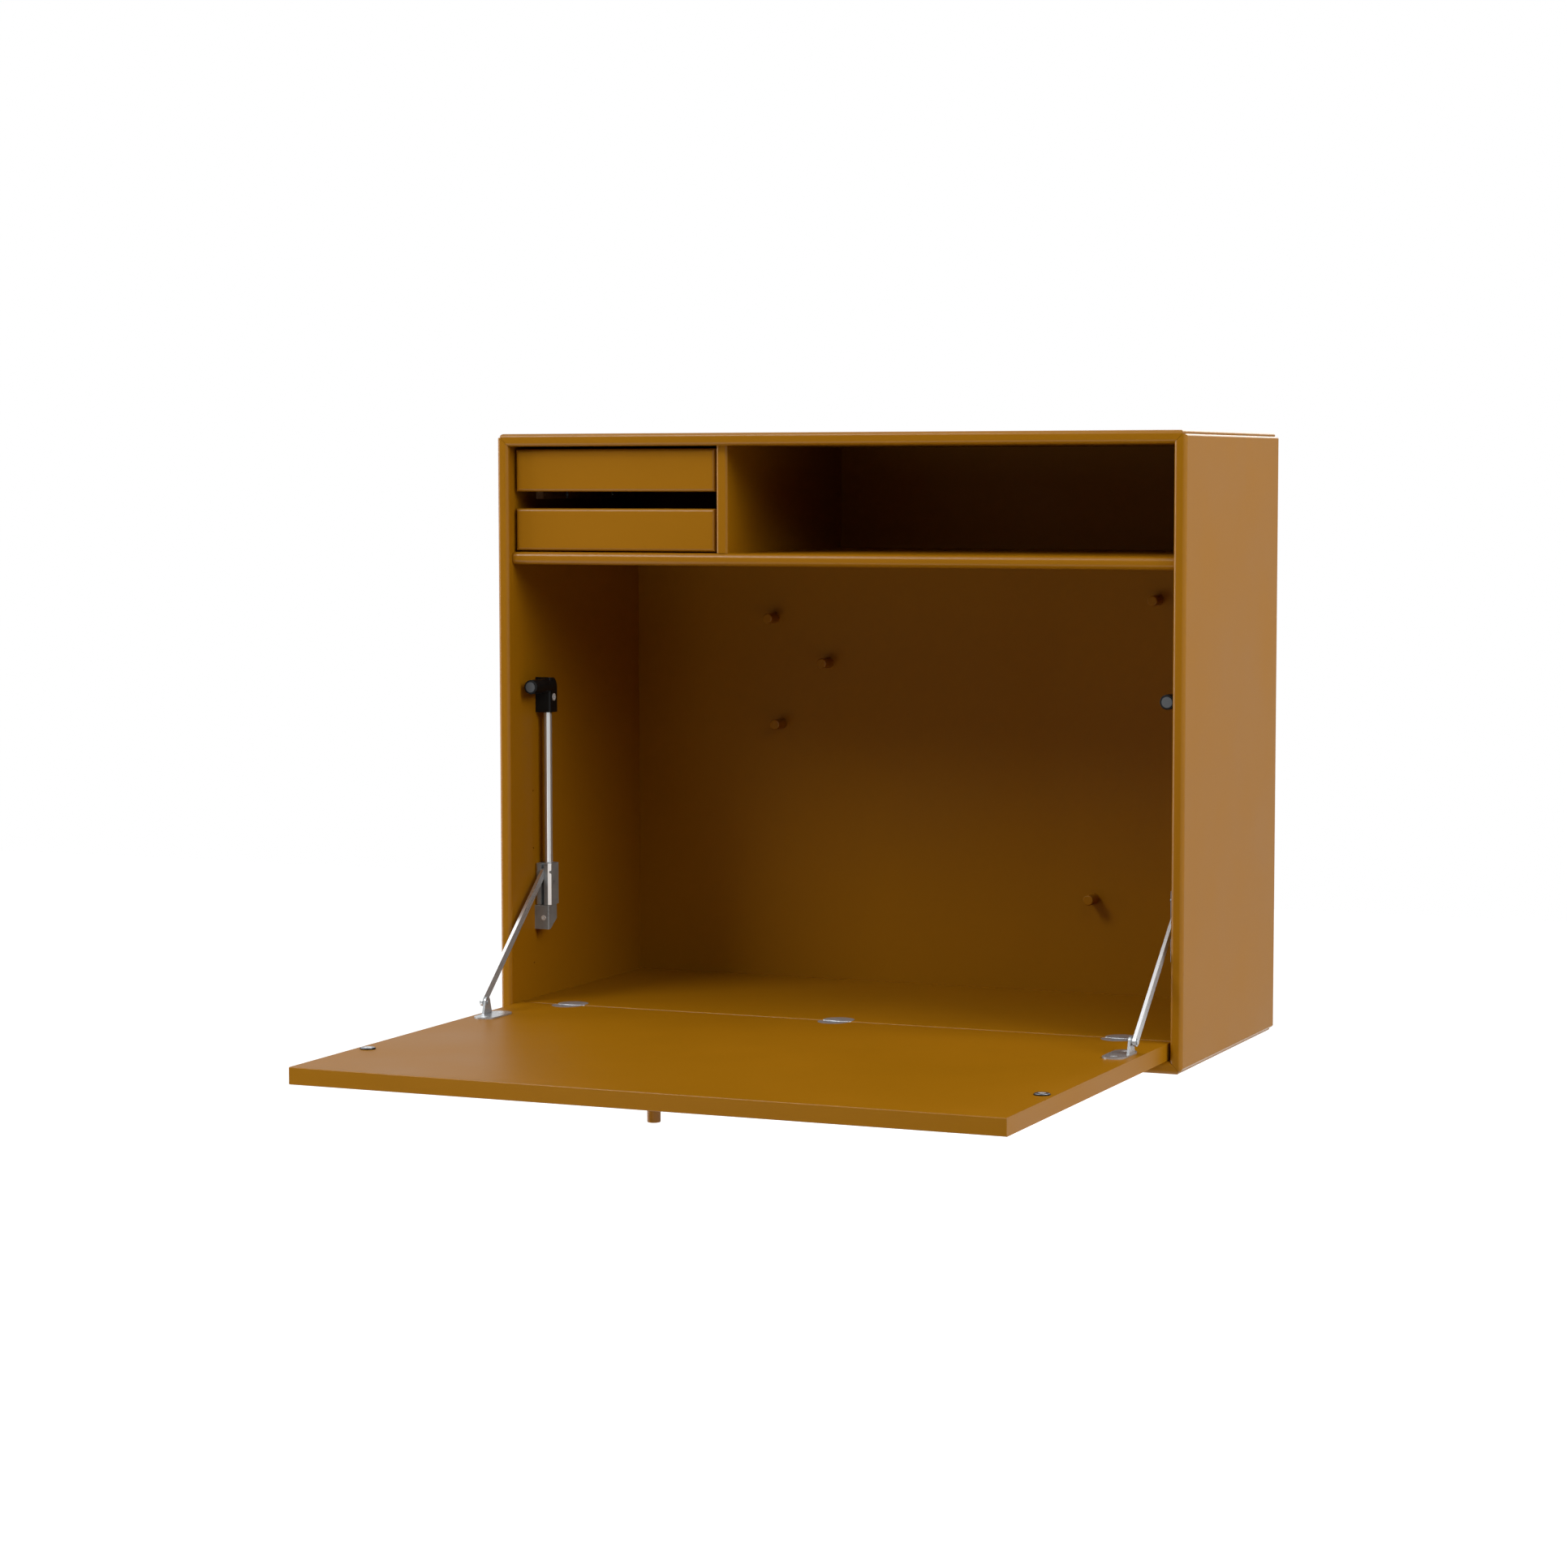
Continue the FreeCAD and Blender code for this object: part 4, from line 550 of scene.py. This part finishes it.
class DESK_OT_strike_shade_rings(bpy.types.Operator):
    """Lays a black ring round each strike plate, painted shade for the plate's shaded side"""

    bl_idname = "desk.strike_rings"
    bl_label = "Strike shade rings"

    def execute(self, context):
        ring_sizes = context.scene.desk_trim
        # the black ring is painted shade for the shaded side of the strike plate
        made = black_moulding(context.scene.desk_finishes)
        for label in SIDES:
            low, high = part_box(f"{label}_strike_plate")
            radius = (high.x - low.x) / 2
            centre = ((low.x + high.x) / 2, (low.y + high.y) / 2, low.z)
            # half an ellipse with full shoulders, from outside in to the plate's side, closed underneath
            angle = np.linspace(np.pi, 0, 13)
            section = np.stack([radius + ring_sizes.ring_wide * (1 - np.cos(angle)) / 2,
                                ring_sizes.ring_tall * np.sin(angle) ** 0.6], -1)
            faces = grid_faces(len(section), RING_STEPS, True, True)
            ring = mesh_piece(f"{label}_strike_shade_ring", turned(section, centre), faces, made)
            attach(ring, "flap")
        return {"FINISHED"}


def looked_at(tree):
    """1 for rays that the camera, gloss or glass send out, and 0 for those that light the desk."""
    path = node(tree, "ShaderNodeLightPath")
    mirrored = maths(tree, "MAXIMUM", path.outputs["Is Glossy Ray"], path.outputs["Is Transmission Ray"])
    return maths(tree, "MAXIMUM", path.outputs["Is Camera Ray"], mirrored)


class DESK_OT_stage(bpy.types.Operator):
    """Sets the floor, lamps, background and camera"""

    bl_idname = "desk.stage"
    bl_label = "Stage"

    def execute(self, context):
        stage = context.scene.desk_stage
        scene = context.scene
        scene.view_settings.view_transform = "Standard"
        world = scene.world or bpy.data.worlds.new("studio")
        scene.world = world
        world.use_nodes = True
        tree = world.node_tree
        tree.nodes.clear()
        shown = remap(tree, looked_at(tree), 0, 1, stage.fill, 1.0)
        back = node(tree, "ShaderNodeBackground", {"Color": (1.0, 1.0, 1.0, 1.0), "Strength": shown})
        out = tree.nodes.new("ShaderNodeOutputWorld")
        tree.links.new(back.outputs[0], out.inputs["Surface"])

        square = np.array([(-1, -1, 0), (1, -1, 0), (1, 1, 0), (-1, 1, 0)], float)
        corners = square * FLOOR_HALF - (0, 0, stage.floor_drop)
        made, tree, shader, place = material("pale studio floor")
        haze = noise(tree, place, 2.0, 3.0)["Fac"]
        pale = blend(tree, haze, (0.78, 0.78, 0.78), (0.82, 0.82, 0.82))
        tree.links.new(pale, shader.inputs["Base Color"])
        shader.inputs["Roughness"].default_value = 0.9
        shader.inputs["Specular IOR Level"].default_value = 0.1
        shader.inputs["Emission Color"].default_value = (1.0, 1.0, 1.0, 1.0)
        # the floor is dimmer close under the desk, where its shadow stays visible
        under = (0.0, FLOOR_CENTRE_Y, -stage.floor_drop)
        reach = node(tree, "ShaderNodeVectorMath", {0: place, 1: under}, operation="DISTANCE")
        glow = remap(tree, reach.outputs["Value"], 0.5, 1.5, 0.25, 1.0)
        tree.links.new(maths(tree, "MULTIPLY", looked_at(tree), glow), shader.inputs["Emission Strength"])
        floor = mesh_piece("studio_floor", corners, [[0, 1, 2, 3]], made, smooth=False)

        for name, (azimuth, elevation, distance, width, level) in LAMPS.items():
            turn, rise = math.radians(azimuth), math.radians(elevation)
            across = math.cos(rise)
            away = Vector((math.sin(turn) * across, -math.cos(turn) * across, math.sin(rise)))
            light = bpy.data.lights.new(name, "AREA")
            light.shape = "SQUARE"
            light.size = width
            light.energy = level * (math.pi * distance) ** 2
            lamp = bpy.data.objects.new(name, light)
            lamp.location = LAMP_AIM + away * distance
            lamp.visible_camera = False
            lamp.rotation_euler = away.to_track_quat("Z", "Y").to_euler()
            scene.collection.objects.link(lamp)

        lens = bpy.data.cameras.new("camera")
        lens.lens = stage.lens
        lens.sensor_width = SENSOR_WIDTH
        lens.sensor_fit = "AUTO"
        camera = bpy.data.objects.new("camera", lens)
        camera.location = stage.camera_place
        camera.rotation_euler = Euler(stage.camera_turn)
        scene.collection.objects.link(camera)
        scene.camera = camera
        return {"FINISHED"}


class DESK_PT_panel(bpy.types.Panel):
    """Lists the desk's finishes, painted shade rings and studio"""

    bl_idname = "DESK_PT_panel"
    bl_label = "Fold-down wall desk"
    bl_space_type = "VIEW_3D"
    bl_region_type = "UI"
    bl_category = "Desk"

    def draw(self, context):
        for group in (context.scene.desk_finishes, context.scene.desk_trim, context.scene.desk_stage):
            for name in group.bl_rna.properties.keys():
                if name not in ("rna_type", "name"):
                    self.layout.prop(group, name)
        for operator in OPERATORS:
            self.layout.operator(operator.bl_idname)


GROUPS = {"desk_finishes": DeskFinishes, "desk_trim": DeskShadeRings, "desk_stage": DeskStage}
OPERATORS = (DESK_OT_lacquer, DESK_OT_fittings, DESK_OT_strike_shade_rings, DESK_OT_stage)


def register():
    for made in (*GROUPS.values(), *OPERATORS, DESK_PT_panel):
        bpy.utils.register_class(made)
    for name, group in GROUPS.items():
        setattr(bpy.types.Scene, name, bpy.props.PointerProperty(type=group))


def unregister():
    for name in GROUPS:
        delattr(bpy.types.Scene, name)
    for made in reversed((*GROUPS.values(), *OPERATORS, DESK_PT_panel)):
        bpy.utils.unregister_class(made)


def main():
    register()
    bpy.ops.desk.lacquer()
    bpy.ops.desk.fittings()
    bpy.ops.desk.strike_rings()
    bpy.ops.desk.stage()


if __name__ == "__main__":
    main()
